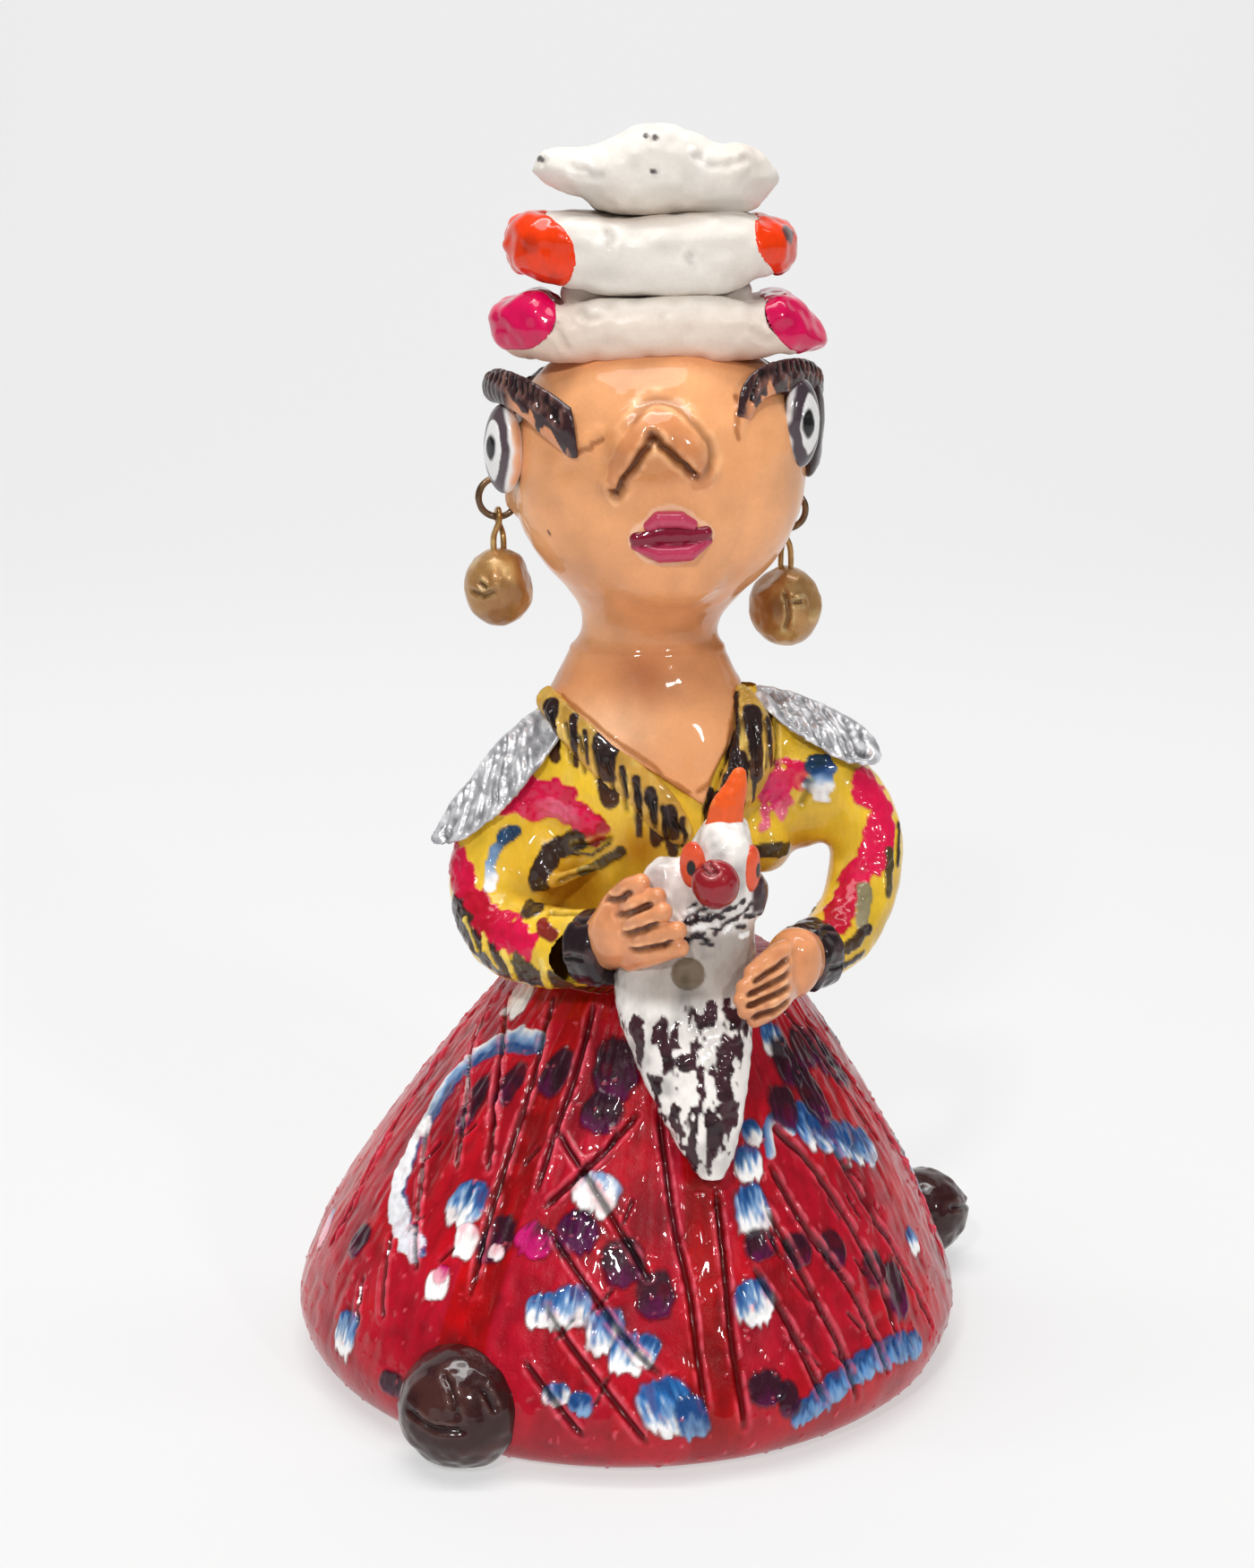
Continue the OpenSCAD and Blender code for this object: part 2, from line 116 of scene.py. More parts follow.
def ball(centre, radii, turn=None):
    """An ellipsoid. turn is a 3 x 3 rotation, if it isn't in line with the axes."""
    c, r = vec(*centre), np.ones(3) * radii
    reach = r if turn is None else np.ones(3) * r.max()

    def distance(p):
        q = p - c if turn is None else (p - c) @ turn
        k0 = np.linalg.norm(q / r, axis=-1)
        k1 = np.linalg.norm(q / r ** 2, axis=-1)
        return k0 * (k0 - 1) / np.maximum(k1, 1e-6)
    return distance, c - reach, c + reach


def rope(path, radii, flat=None, thin=1.0):
    """A tube along points, with a radius at each. It is thinned along the direction flat."""
    pts = np.array(path, float)
    rad = np.ones(len(pts)) * radii
    n = None if flat is None else unit(vec(*flat))

    def squeeze(q):
        return q if n is None else q + (q @ n)[..., None] * n * (1 / thin - 1)

    def distance(p):
        best = None
        for a, b, ra, rb in zip(pts[:-1], pts[1:], rad[:-1], rad[1:]):
            d = b - a
            t = np.clip(((p - a) @ d) / (d @ d), 0, 1)
            away = squeeze(p - a - t[..., None] * d)
            gap = np.linalg.norm(away, axis=-1) - (ra + (rb - ra) * t)
            best = gap if best is None else np.minimum(best, gap)
        return best
    return distance, pts.min(0) - rad.max(), pts.max(0) + rad.max()


def curve(path, steps):
    """A smooth curve through points, as more points."""
    p = np.array(path, float)
    ends = np.concatenate([[2 * p[0] - p[1]], p, [2 * p[-1] - p[-2]]])
    out = []
    for a, b, c, d in zip(ends[:-3], ends[1:-2], ends[2:-1], ends[3:]):
        for t in np.arange(steps) / steps:
            out.append(0.5 * (2 * b + (c - a) * t + (2 * a - 5 * b + 4 * c - d) * t ** 2
                              + (3 * b - a - 3 * c + d) * t ** 3))
    return np.array(out + [p[-1]])


class Clay:
    """A block of clay as distances to its surface, on a grid of points."""

    EMPTY, MARGIN = 6.0, 2

    def __init__(self, low, high, step):
        self.low, self.step = vec(*low), step
        self.axes = [np.arange(a, b, step) for a, b in zip(low, high)]
        self.field = np.full([len(a) for a in self.axes], self.EMPTY)

    @classmethod
    def about(cls, points, margin, step):
        """A block with room on all sides of a point, or of some points."""
        p = np.atleast_2d(np.array(points, float))
        return cls(p.min(0) - margin, p.max(0) + margin, step)

    def near(self, low, high, reach):
        """The part of the grid round a box, and its points."""
        cut = tuple(slice(*np.searchsorted(a, (b - reach, t + reach)))
                    for a, b, t in zip(self.axes, low, high))
        return cut, np.stack(np.meshgrid(*(a[c] for a, c in zip(self.axes, cut)), indexing="ij"), -1)

    def add(self, shape, blend):
        """Joins a shape on, with a soft seam."""
        distance, low, high = shape
        cut, p = self.near(low, high, blend + self.MARGIN)
        self.field[cut] = smooth_min(self.field[cut], distance(p), blend)

    def cut(self, shape, blend):
        """Takes a shape away, with a soft edge."""
        distance, low, high = shape
        cut, p = self.near(low, high, blend + self.MARGIN)
        self.field[cut] = -smooth_min(-self.field[cut], distance(p), blend)

    def skin(self, colour, lumps, size):
        """The surface, ready to paint."""
        return Skin(*self.surface(), colour, lumps, size)

    def surface(self):
        """The surface as points and four-cornered faces, one point in each cell it crosses."""
        f, inside = self.field, self.field < 0
        n = np.array(f.shape) - 1
        corner = [np.array(c) for c in np.ndindex(2, 2, 2)]
        part = {tuple(c): tuple(slice(o, o + m) for o, m in zip(c, n)) for c in corner}
        count = sum(inside[part[tuple(c)]].astype(int) for c in corner)
        cells = np.argwhere((count > 0) & (count < 8))
        index = np.full(n, -1)
        index[tuple(cells.T)] = np.arange(len(cells))
        total, hits = np.zeros((len(cells), 3)), np.zeros((len(cells), 1))
        for a in corner:
            for axis in range(3):
                if a[axis]:
                    continue
                b = a + np.eye(3, dtype=int)[axis]
                fa, fb = f[tuple((cells + a).T)], f[tuple((cells + b).T)]
                cross = (fa < 0) != (fb < 0)
                t = np.where(cross, fa / np.where(cross, fa - fb, 1), 0)
                total += np.where(cross[:, None], a + t[:, None] * (b - a), 0)
                hits += cross[:, None]
        points = self.low + (cells + total / hits) * self.step
        faces = []
        for axis in range(3):
            u, v = (axis + 1) % 3, (axis + 2) % 3
            at = np.argwhere(np.diff(inside, axis=axis))
            at = at[(at[:, u] > 0) & (at[:, v] > 0) & (at[:, u] < n[u]) & (at[:, v] < n[v])]
            du, dv = np.eye(3, dtype=int)[u], np.eye(3, dtype=int)[v]
            quad = np.stack([index[tuple((at - o).T)] for o in (0 * du, du, du + dv, dv)], 1)
            out = inside[tuple(at.T)]
            faces.append(np.where(out[:, None], quad, quad[:, ::-1]))
        return points, np.concatenate(faces)


# ---- skin: a mesh's points with relief and paint

FULL_LIFT = 0.25


class Skin:
    """The points of a piece's surface, which strokes colour and lift."""

    def __init__(self, points, faces, colour, lumps, size):
        self.faces = faces
        self.points = points
        self.rgb = np.tile(linear(colour), (len(points), 1))
        self.lift = lumps * (noise(points, size, 1) + 0.5 * noise(points, size / 3, 2))
        self.normals = self.find_normals()

    def find_normals(self):
        p, f = self.points, self.faces
        n = np.cross(p[f[:, 2]] - p[f[:, 0]], p[f[:, 3]] - p[f[:, 1]])
        total = np.zeros_like(p)
        for k in range(4):
            np.add.at(total, f[:, k], n)
        return unit(total)

    def mix(self, which, colour, share):
        """Blends linear colours into some of the points."""
        share = share[:, None]
        self.rgb[which] = self.rgb[which] * (1 - share) + colour * share

    def tint(self, colour, share):
        """Mixes a colour in, by a share for each point."""
        self.mix(slice(None), linear(colour), np.clip(share, 0, 1))

    def cloud(self, colour, share, low, high, size, seed, stretch=(1, 1, 1)):
        """Mixes a colour in by smooth noise, where it rises from low to high."""
        self.tint(colour, share * ease(low, high, noise(self.points * vec(*stretch), size, seed)))

    def front(self, across, z, way):
        """The outermost point of the surface that is seen at a place from one way, or None."""
        k = 0 if way[0] == 0 else 1
        off = np.hypot(self.points[:, k] - across, self.points[:, 2] - z)
        score = self.points @ vec(*way) - 8 * np.maximum(off - 0.5, 0)
        best = np.argmax(score)
        return self.points[best] if off[best] < 1.0 else None

    def on_front(self, path, way=FRONT):
        """The places of a path that fall on the surface, seen from one way."""
        found = [self.front(a, z, way) for a, z in path]
        return np.array([p for p in found if p is not None])

    def bend(self, path):
        """A smooth curve through places, laid on the front of the surface."""
        return self.on_front(curve(path, 4))

    def on_surface(self, path):
        """A path in space, moved to the nearest points of the surface."""
        return np.array([self.points[np.argmin(((self.points - q) ** 2).sum(1))] for q in np.array(path)])

    def along(self, path, reach, facing=None):
        """For the points near a path: which they are, how far off, how far along, which side."""
        if len(path) < 2:
            return np.zeros(0, int), *np.zeros((3, 0))
        pts = np.array(path, float)
        p = self.points
        low, high = pts.min(0) - reach, pts.max(0) + reach
        near = np.flatnonzero(((p > low) & (p < high)).all(1))
        if facing is not None:
            near = near[self.normals[near] @ unit(vec(*facing)) > 0.05]
        q, n = p[near], self.normals[near]
        off, at, side = np.full(len(near), 1e3), np.zeros(len(near)), np.zeros(len(near))
        lengths = np.linalg.norm(np.diff(pts, axis=0), axis=1)
        start = np.concatenate([[0], np.cumsum(lengths)])
        for i, (a, b) in enumerate(zip(pts[:-1], pts[1:])):
            d = b - a
            raw = ((q - a) @ d) / max(d @ d, 1e-9)
            t = np.clip(raw, 0, 1)
            away = q - a - t[:, None] * d
            dist = np.linalg.norm(away, axis=1)
            closer = dist < off
            off = np.where(closer, dist, off)
            at = np.where(closer, (start[i] + t * lengths[i]) / max(start[-1], 1e-9), at)
            turn = np.einsum("ij,ij->i", np.cross(n, d / max(lengths[i], 1e-9)), away)
            side = np.where(closer, turn, side)
        keep = off < reach
        return near[keep], off[keep], at[keep], side[keep]

    def groove(self, path, width=0.45, depth=0.5, burr=0.22, dark=0.55, pale=PINK_RED):
        """A line drawn in damp clay with a point: a furrow with a crumbly rim on both sides. The furrow gets
        painted shade, and the rim gets a painted highlight in the pale colour.
        """
        i, off, at, side = self.along(path, width * 4)
        fade = ease(0, 0.06, at) * ease(0, 0.06, 1 - at) * 0.7 + 0.3
        crumb = 0.6 + 0.9 * noise(self.points[i], 1.3, 5)
        valley = np.exp(-(off / width) ** 2) * fade
        rim = np.exp(-((off - 2.0 * width) / (0.75 * width)) ** 2) * fade * np.clip(crumb, 0, 2)
        rim *= np.where(side > 0, 1.0, 0.6)
        self.lift[i] += burr * rim - depth * valley
        # Painted shade in the furrow, and a painted highlight on the crumbly rim.
        self.rgb[i] *= (1 - dark * valley)[:, None]
        self.mix(i, linear(pale), np.clip(0.6 * rim, 0, 1))

    def stroke(self, path, width, colours, across=False, ragged=0.35, lift=0.1, grain=1.4,
               facing=None, strength=1.0, taper=0.0):
        """A loaded brush drawn along a path. Colours run along it, or from side to side."""
        i, off, at, side = self.along(path, width * 1.6, facing)
        bristle = noise(self.points[i], grain, 7)
        half = width / 2 * (1 + ragged * bristle) * (1 - taper * at)
        body = ease(-0.16, 0.16, half - off) * strength
        run = 0.5 + side / width if across else at
        self.mix(i, ramp(colours, np.clip(run + 0.22 * bristle, 0, 1)), body)
        self.lift[i] += lift * body * (1 + 0.7 * noise(self.points[i], grain * 0.6, 9))

    def shade_hollows(self, amount):
        """Painted shade darkens what lies low, and a painted highlight lightens what stands high a little.
        """
        height = np.clip(self.lift / FULL_LIFT, -1, 0.3)
        self.rgb *= np.clip(1 + amount * height, 0.3, 1.2)[:, None]

    def shaped(self):
        return self.points + self.normals * self.lift[:, None]


def add_object(name, data):
    obj = bpy.data.objects.new(name, data)
    bpy.context.scene.collection.objects.link(obj)
    return obj


def mesh_object(name, points, faces, rgb):
    """A smooth mesh in metres, with its paint as a colour for each point."""
    mesh = bpy.data.meshes.new(name)
    mesh.from_pydata((points * MM).tolist(), [], [list(map(int, f)) for f in faces])
    layer = mesh.color_attributes.new("Paint", "FLOAT_COLOR", "POINT")
    rgba = np.concatenate([np.clip(rgb, 0, 1), np.ones((len(rgb), 1))], 1).astype(np.float32)
    layer.data.foreach_set("color", rgba.ravel())
    mesh.shade_smooth()
    mesh.validate()
    return add_object(name, mesh)


def piece(name, skin, material, nodes, body="figure"):
    """Makes a finished piece that stands for CAD nodes and rides on a body."""
    obj = mesh_object(name, skin.shaped(), skin.faces, skin.rgb)
    obj.data.materials.append(material)
    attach(obj, body)
    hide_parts(*nodes)


def finish(name, skin, slot, nodes=None, body="figure", kind="varnish", **look):
    """Makes a piece with a paint of its own, for the CAD node of the same name or for others."""
    piece(name, skin, paint(name + "_" + kind, **look), nodes or [name], body)


# ---- materials

EVEN, BRUSHED = (1, 1, 1), (1, 1, 0.35)
BRUSH_SHARE, CLOUD_SHARE, PORE_SHARE = 0.55, 0.45, 0.3
PAINT_SHINE, METAL_SHINE, CLEAR_COAT, DENT = 0.12, 0.5, 1.5, 0.0004


def paint(name, rough=0.3, coat=0.6, coat_rough=0.08, metal=0.0, bump=0.25, mottle=0.16,
          streak=BRUSHED):
    """Brushed paint: its colour comes from the mesh, and fine streaks and pores from noise."""
    mat = bpy.data.materials.new(name)
    mat.use_nodes = True
    nodes, links = mat.node_tree.nodes, mat.node_tree.links
    nodes.clear()

    def node(kind, **values):
        n = nodes.new(kind)
        for key, value in values.items():
            if key in n.inputs:
                n.inputs[key].default_value = value
            else:
                setattr(n, key, value)
        return n
    out = node("ShaderNodeOutputMaterial")
    shader = node("ShaderNodeBsdfPrincipled", **{
        "Metallic": metal, "Coat Weight": coat, "Coat Roughness": coat_rough,
        "Coat IOR": CLEAR_COAT, "Specular IOR Level": METAL_SHINE if metal else PAINT_SHINE})
    colour = node("ShaderNodeAttribute", attribute_name="Paint")
    where = node("ShaderNodeTexCoord")
    stretch = node("ShaderNodeMapping", Scale=streak)
    links.new(where.outputs["Object"], stretch.inputs["Vector"])
    brush = node("ShaderNodeTexNoise", Scale=1400.0, Detail=5.0, Roughness=0.6)
    cloud = node("ShaderNodeTexNoise", Scale=210.0, Detail=3.0, Roughness=0.55)
    pores = node("ShaderNodeTexNoise", Scale=3200.0, Detail=2.0)
    links.new(stretch.outputs["Vector"], brush.inputs["Vector"])
    for n in (cloud, pores):
        links.new(where.outputs["Object"], n.inputs["Vector"])
    shade = node("ShaderNodeMapRange", **{"From Min": 0.3, "From Max": 0.7,
                                          "To Min": 1 - mottle, "To Max": 1 + 0.6 * mottle})
    mixed = node("ShaderNodeMath", operation="MULTIPLY_ADD")
    mixed.inputs[1].default_value = BRUSH_SHARE
    links.new(brush.outputs["Fac"], mixed.inputs[0])
    blotch = node("ShaderNodeMath", operation="MULTIPLY")
    blotch.inputs[1].default_value = CLOUD_SHARE
    links.new(cloud.outputs["Fac"], blotch.inputs[0])
    links.new(blotch.outputs[0], mixed.inputs[2])
    links.new(mixed.outputs[0], shade.inputs["Value"])
    tone = node("ShaderNodeVectorMath", operation="SCALE")
    links.new(colour.outputs["Color"], tone.inputs[0])
    links.new(shade.outputs["Result"], tone.inputs["Scale"])
    links.new(tone.outputs["Vector"], shader.inputs["Base Color"])
    gloss = node("ShaderNodeMapRange", **{"From Min": 0.25, "From Max": 0.75,
                                          "To Min": rough * 0.75, "To Max": rough * 1.35})
    links.new(cloud.outputs["Fac"], gloss.inputs["Value"])
    links.new(gloss.outputs["Result"], shader.inputs["Roughness"])
    height = node("ShaderNodeMath", operation="MULTIPLY_ADD")
    height.inputs[1].default_value = PORE_SHARE
    links.new(pores.outputs["Fac"], height.inputs[0])
    links.new(mixed.outputs[0], height.inputs[2])
    dents = node("ShaderNodeBump", Strength=bump, Distance=DENT)
    links.new(height.outputs[0], dents.inputs["Height"])
    links.new(dents.outputs["Normal"], shader.inputs["Normal"])
    links.new(shader.outputs["BSDF"], out.inputs["Surface"])
    return mat


# ---- skirt

SKIRT_R, SKIRT_H, WAIST_R, HEM_H, HEM_TUCK = 55.5, 66.0, 21.0, 9.0, 6.5
LEAN, LEAN_FROM, BOW, FOOT_IN, WALL, DECK = 4.0, 20.0, 1.3, 6.0, 6.5, 8.0
# how much longer the sloping side is than its height, and how square a dab's corners are
SLOPE, DAB_POWER = 1.2, 2.6


def side_radius(z):
    """The bell's radius at a height: its side bows in a little."""
    t = np.clip((np.asarray(z, float) - HEM_H) / (SKIRT_H - HEM_H), 0, 1)
    return SKIRT_R - (SKIRT_R - WAIST_R) * t ** BOW


def lean(z):
    """How far to the right the axis lies at a height."""
    return LEAN * np.clip((np.asarray(z, float) - LEAN_FROM) / (SKIRT_H - LEAN_FROM), 0, 1)


def level(a, r, z):
    """Points at some angles and a radius, round the skirt's leaning axis."""
    return np.stack([lean(z) + r * np.cos(a), r * np.sin(a), z + 0 * a], -1)


def skirt_at(heading, z):
    """A point on the skirt's outer side."""
    z = np.asarray(z, float)
    tuck = HEM_TUCK * (1 - np.sqrt(np.clip(1 - (1 - z / HEM_H) ** 2, 0, 1)))
    return level(np.radians(heading), side_radius(z) - np.where(z < HEM_H, tuck, 0), z)


class Skirt(Skin):
    """The bell, laid out by heading and height so that dabs can be placed on it."""

    def __init__(self):
        front = np.arange(168, 372, 0.3)
        back = np.arange(372, 528, 0.5)
        headings = np.concatenate([front, back])
        hem = HEM_H * (1 - np.cos(np.radians(np.arange(0, 90, 2.4))))
        rise = np.arange(HEM_H, SKIRT_H, 0.27)
        inner_z = np.linspace(SKIRT_H - DECK, LEAN_FROM, 12)
        bore = SKIRT_R - HEM_TUCK - FOOT_IN
        a = np.radians(headings)
        rings = [level(a, r, SKIRT_H - DECK) for r in (0.5, 8)]
        rings += [level(a, side_radius(z) - WALL, z) for z in inner_z]
        rings += [level(a, bore, z) for z in (16, 8, 0)]
        inner = len(rings)
        heights = np.concatenate([hem, rise])
        rings += [skirt_at(headings, np.full(len(a), z)) for z in heights]
        rings += [level(a, r, SKIRT_H) for r in (WAIST_R, 14, 7, 0.5)]
        grid = np.array(rings)
        n, m = grid.shape[:2]
        k = np.arange(n * m).reshape(n, m)
        nxt = np.roll(k, -1, 1)
        faces = np.stack([k[:-1], nxt[:-1], nxt[1:], k[1:]], -1).reshape(-1, 4)
        super().__init__(grid.reshape(-1, 3), faces, CRIMSON, lumps=0.2, size=11)
        self.h = np.tile(headings, n)
        self.z = self.points[:, 2]
        self.outer = np.repeat(np.arange(n) >= inner, m)
        self.lift[~self.outer] = 0
        self.lift *= ease(0.3, 4, self.z)

    def line(self, path):
        """A path of (heading, height) laid on the side."""
        p = curve(path, 5)
        return skirt_at(p[:, 0], p[:, 1])

    def local(self, heading, z, turn):
        """Millimetres across and up from a place on the side, in a frame turned by an angle."""
        dh = (self.h - heading + 180) % 360 - 180
        s = np.radians(dh) * side_radius(z)
        t = (self.z - z) * SLOPE
        c, w = math.cos(math.radians(turn)), math.sin(math.radians(turn))
        return s * c + t * w, t * c - s * w

    def dab(self, heading, z, wide, high, colours, turn=0.0, strength=1.0, seed=0, aslant=0.0,
            ragged=0.28):
        """One print of a flat brush. Its colours run down it, and its lower edge is ragged."""
        s, t = self.local(heading, z, turn)
        near = np.flatnonzero(self.outer & (np.abs(s) < wide) & (np.abs(t) < high * 1.2))
        s, t, p = s[near] / (wide / 2), t[near] / (high / 2), self.points[near]
        hairs = noise(np.stack([s * wide, 0.3 * t * high], -1), 1.2, seed + 3)
        edge = noise(p, 1.6, seed + 4)
        t = np.where(t < 0, t / (1 + ragged * hairs), t / (1 + 0.08 * hairs))
        r = (np.abs(s) ** DAB_POWER + np.abs(t) ** DAB_POWER) ** (1 / DAB_POWER) * (1 + 0.12 * edge)
        body = ease(-0.1, 0.1, 1 - r) * strength
        fine = noise(np.stack([s * wide, 0.2 * t * high], -1), 0.6, seed + 5)
        down = np.clip(0.5 - t / 2 + 0.28 * hairs + 0.16 * fine + aslant * s, 0, 0.999)
        self.mix(near, ramp(colours, down), body)
        # A thin painted shadow darkens a ring just outside the dab's edge.
        self.rgb[near] *= (1 - 0.45 * np.exp(-((r - 1.05) / 0.07) ** 2))[:, None]
        rim = np.exp(-((r - 0.88) / 0.12) ** 2)
        self.lift[near] += body * (0.1 + 0.07 * hairs + 0.1 * rim * (t < 0))


BLUE_DAB = (BLUE, (44, 94, 152), PALE_BLUE, WHITE, WHITE)
PURPLE_DAB = (BLACK_PURPLE, BLACK_PURPLE, PURPLE)
PINK_DAB = (PINK, WHITE, WHITE)


def skirt_bands(skin):
    """Plain red panels, a smooth hem and long streaks of the brush."""
    h, z = skin.h, skin.z
    streaks = noise(np.stack([np.radians(h) * 40, z * 0.12], -1), 1.5, 3)
    skin.tint(PINK_RED, 0.02 + 0.16 * streaks)
    drawn = noise(np.stack([np.radians(h) * 40, z * 0.2], -1), 1.1, 9)
    skin.lift += (0.11 * drawn + 0.12 * noise(skin.points, 2.1, 13)) * skin.outer * ease(4, 14, z)
    skin.cloud(HOT_RED, 0.45, -0.2, 0.5, 9, 4)
    for centre, half, low, high in ((241, 4.6, 14, 66), (284.3, 4.4, 2, 47)):
        wave = 0.6 * noise(skin.points, 7, 8)
        across = ease(half + 0.5, half - 0.5, np.abs(h - centre + wave))
        share = across * ease(low - 3, low + 3, z) * ease(high + 1, high - 1, z)
        skin.tint(HOT_RED, 0.95 * share)
        skin.tint(DEEP_RED, 0.6 * share * ease(-0.5, 0.8, noise(skin.points, 8, 6) + 0.2))
        skin.lift -= 0.12 * share
    skin.tint((176, 8, 34), 0.8 * ease(8, 3, z))
    skin.tint((90, 40, 34), (~skin.outer).astype(float))


FRONT_LINES = (
    # left of the front: long lines that fan out from the waist
    [(177, 59), (186, 45), (195, 29), (197, 21)],
    [(186, 62), (195, 57), (204, 53)],
    [(200, 62), (218, 55), (229, 46)],
    [(201, 54), (215, 48), (224, 40)],
    [(217, 56), (227, 48), (233, 41)],
    [(207, 42), (216, 36), (226, 26)],
    [(216, 28), (223, 18)],
    [(214, 21), (217, 15)],
    [(226, 64), (233, 56), (236, 47), (238, 36), (240, 25)],
    [(246, 64), (247.5, 56), (247, 48), (247, 40)],
    # the leaf to the left of the middle
    [(247, 48), (259, 41.5), (268, 34.5), (273, 29.5)],
    [(268, 50.5), (259, 44.5), (250, 38)],
    [(253, 34.5), (262, 28), (269, 22), (275, 17)],
    [(255, 25), (263, 18), (269, 12), (273, 7)],
    [(253, 17.5), (258, 13), (263, 8)],
    # the stem in the middle
    [(274, 51), (276, 44), (278, 36), (281, 26), (282.5, 12)],
    [(287.5, 40), (288, 22), (288.7, 8)],
    # the leaf to the right
    [(305.5, 47), (313.5, 40.5), (319, 30.5), (322, 20.5), (322, 14)],
    [(302, 42), (307, 33), (314, 22.5), (317.5, 9.5)],
    [(298.5, 37), (303, 28.5), (307.5, 18), (310, 7.5)],
    [(294, 29), (299, 21), (303, 9.5)],
    [(323, 41.5), (326.5, 31.5), (331, 20.5), (333.5, 11)],
    [(330, 62), (338, 50), (344, 38)],
    [(352.5, 40.5), (355.5, 30.5), (354, 18)],
    [(341, 57.5), (348, 49), (352, 37.5), (356, 27), (352, 14)],
)


def leaf_of_lines(skin, heading, way):
    """A fan of slanting lines with short ticks between them, for the sides and the back."""
    for top in 52 - 7.5 * np.arange(4):
        path = [(heading, top), (heading + 9 * way, top - 7), (heading + 16 * way, top - 16)]
        path = [(a, b) for a, b in path if b > 5]
        if len(path) > 1:
            skin.groove(skin.line(path))
        tick = [(heading + 5 * way, top - 8), (heading + 7.5 * way, top - 4.5)]
        if tick[0][1] > 6:
            skin.groove(skin.line(tick), 0.35, 0.3, 0.2)


def skirt_lines(skin, rng):
    """The lines scratched over the dabs, in front as in the photograph and behind by rule."""
    for path in FRONT_LINES:
        skin.groove(skin.line(path), width=0.46, depth=0.75, burr=0.46, dark=0.62, pale=(236, 96, 116))
    # short ticks that turn the slanting lines into leaves
    ticks = ((268, 38, 1), (256, 42.5, 1), (265, 26.5, 1), (259, 22.5, 1), (266, 14.5, 1), (262, 46.5, 1),
             (303, 25, -1), (308, 30.5, -1), (299, 31.5, -1), (312, 26, -1), (302, 16, -1), (316, 34, -1),
             (318, 25, -1), (308, 14, -1), (313, 18.5, -1), (326, 37, -1), (329, 27, -1), (322, 33, -1),
             (214, 40, 1), (221, 31, 1), (222, 44.5, 1), (232, 29, 1), (243, 44, 1))
    for heading, z, way in ticks:
        dh, dz = rng.uniform(0.8, 1.6) * way, rng.uniform(1.2, 2)
        skin.groove(skin.line([(heading - dh, z - dz), (heading + dh, z + dz)]), 0.32, 0.32, 0.2)
    for heading, way in ((12, 1), (48, -1), (66, 1), (104, -1), (120, 1), (158, -1)):
        leaf_of_lines(skin, heading, way)
    for heading in (30, 57, 85, 112, 140, 166):
        skin.groove(skin.line([(heading, 64), (heading + 1, 44), (heading - 1, 22)]))


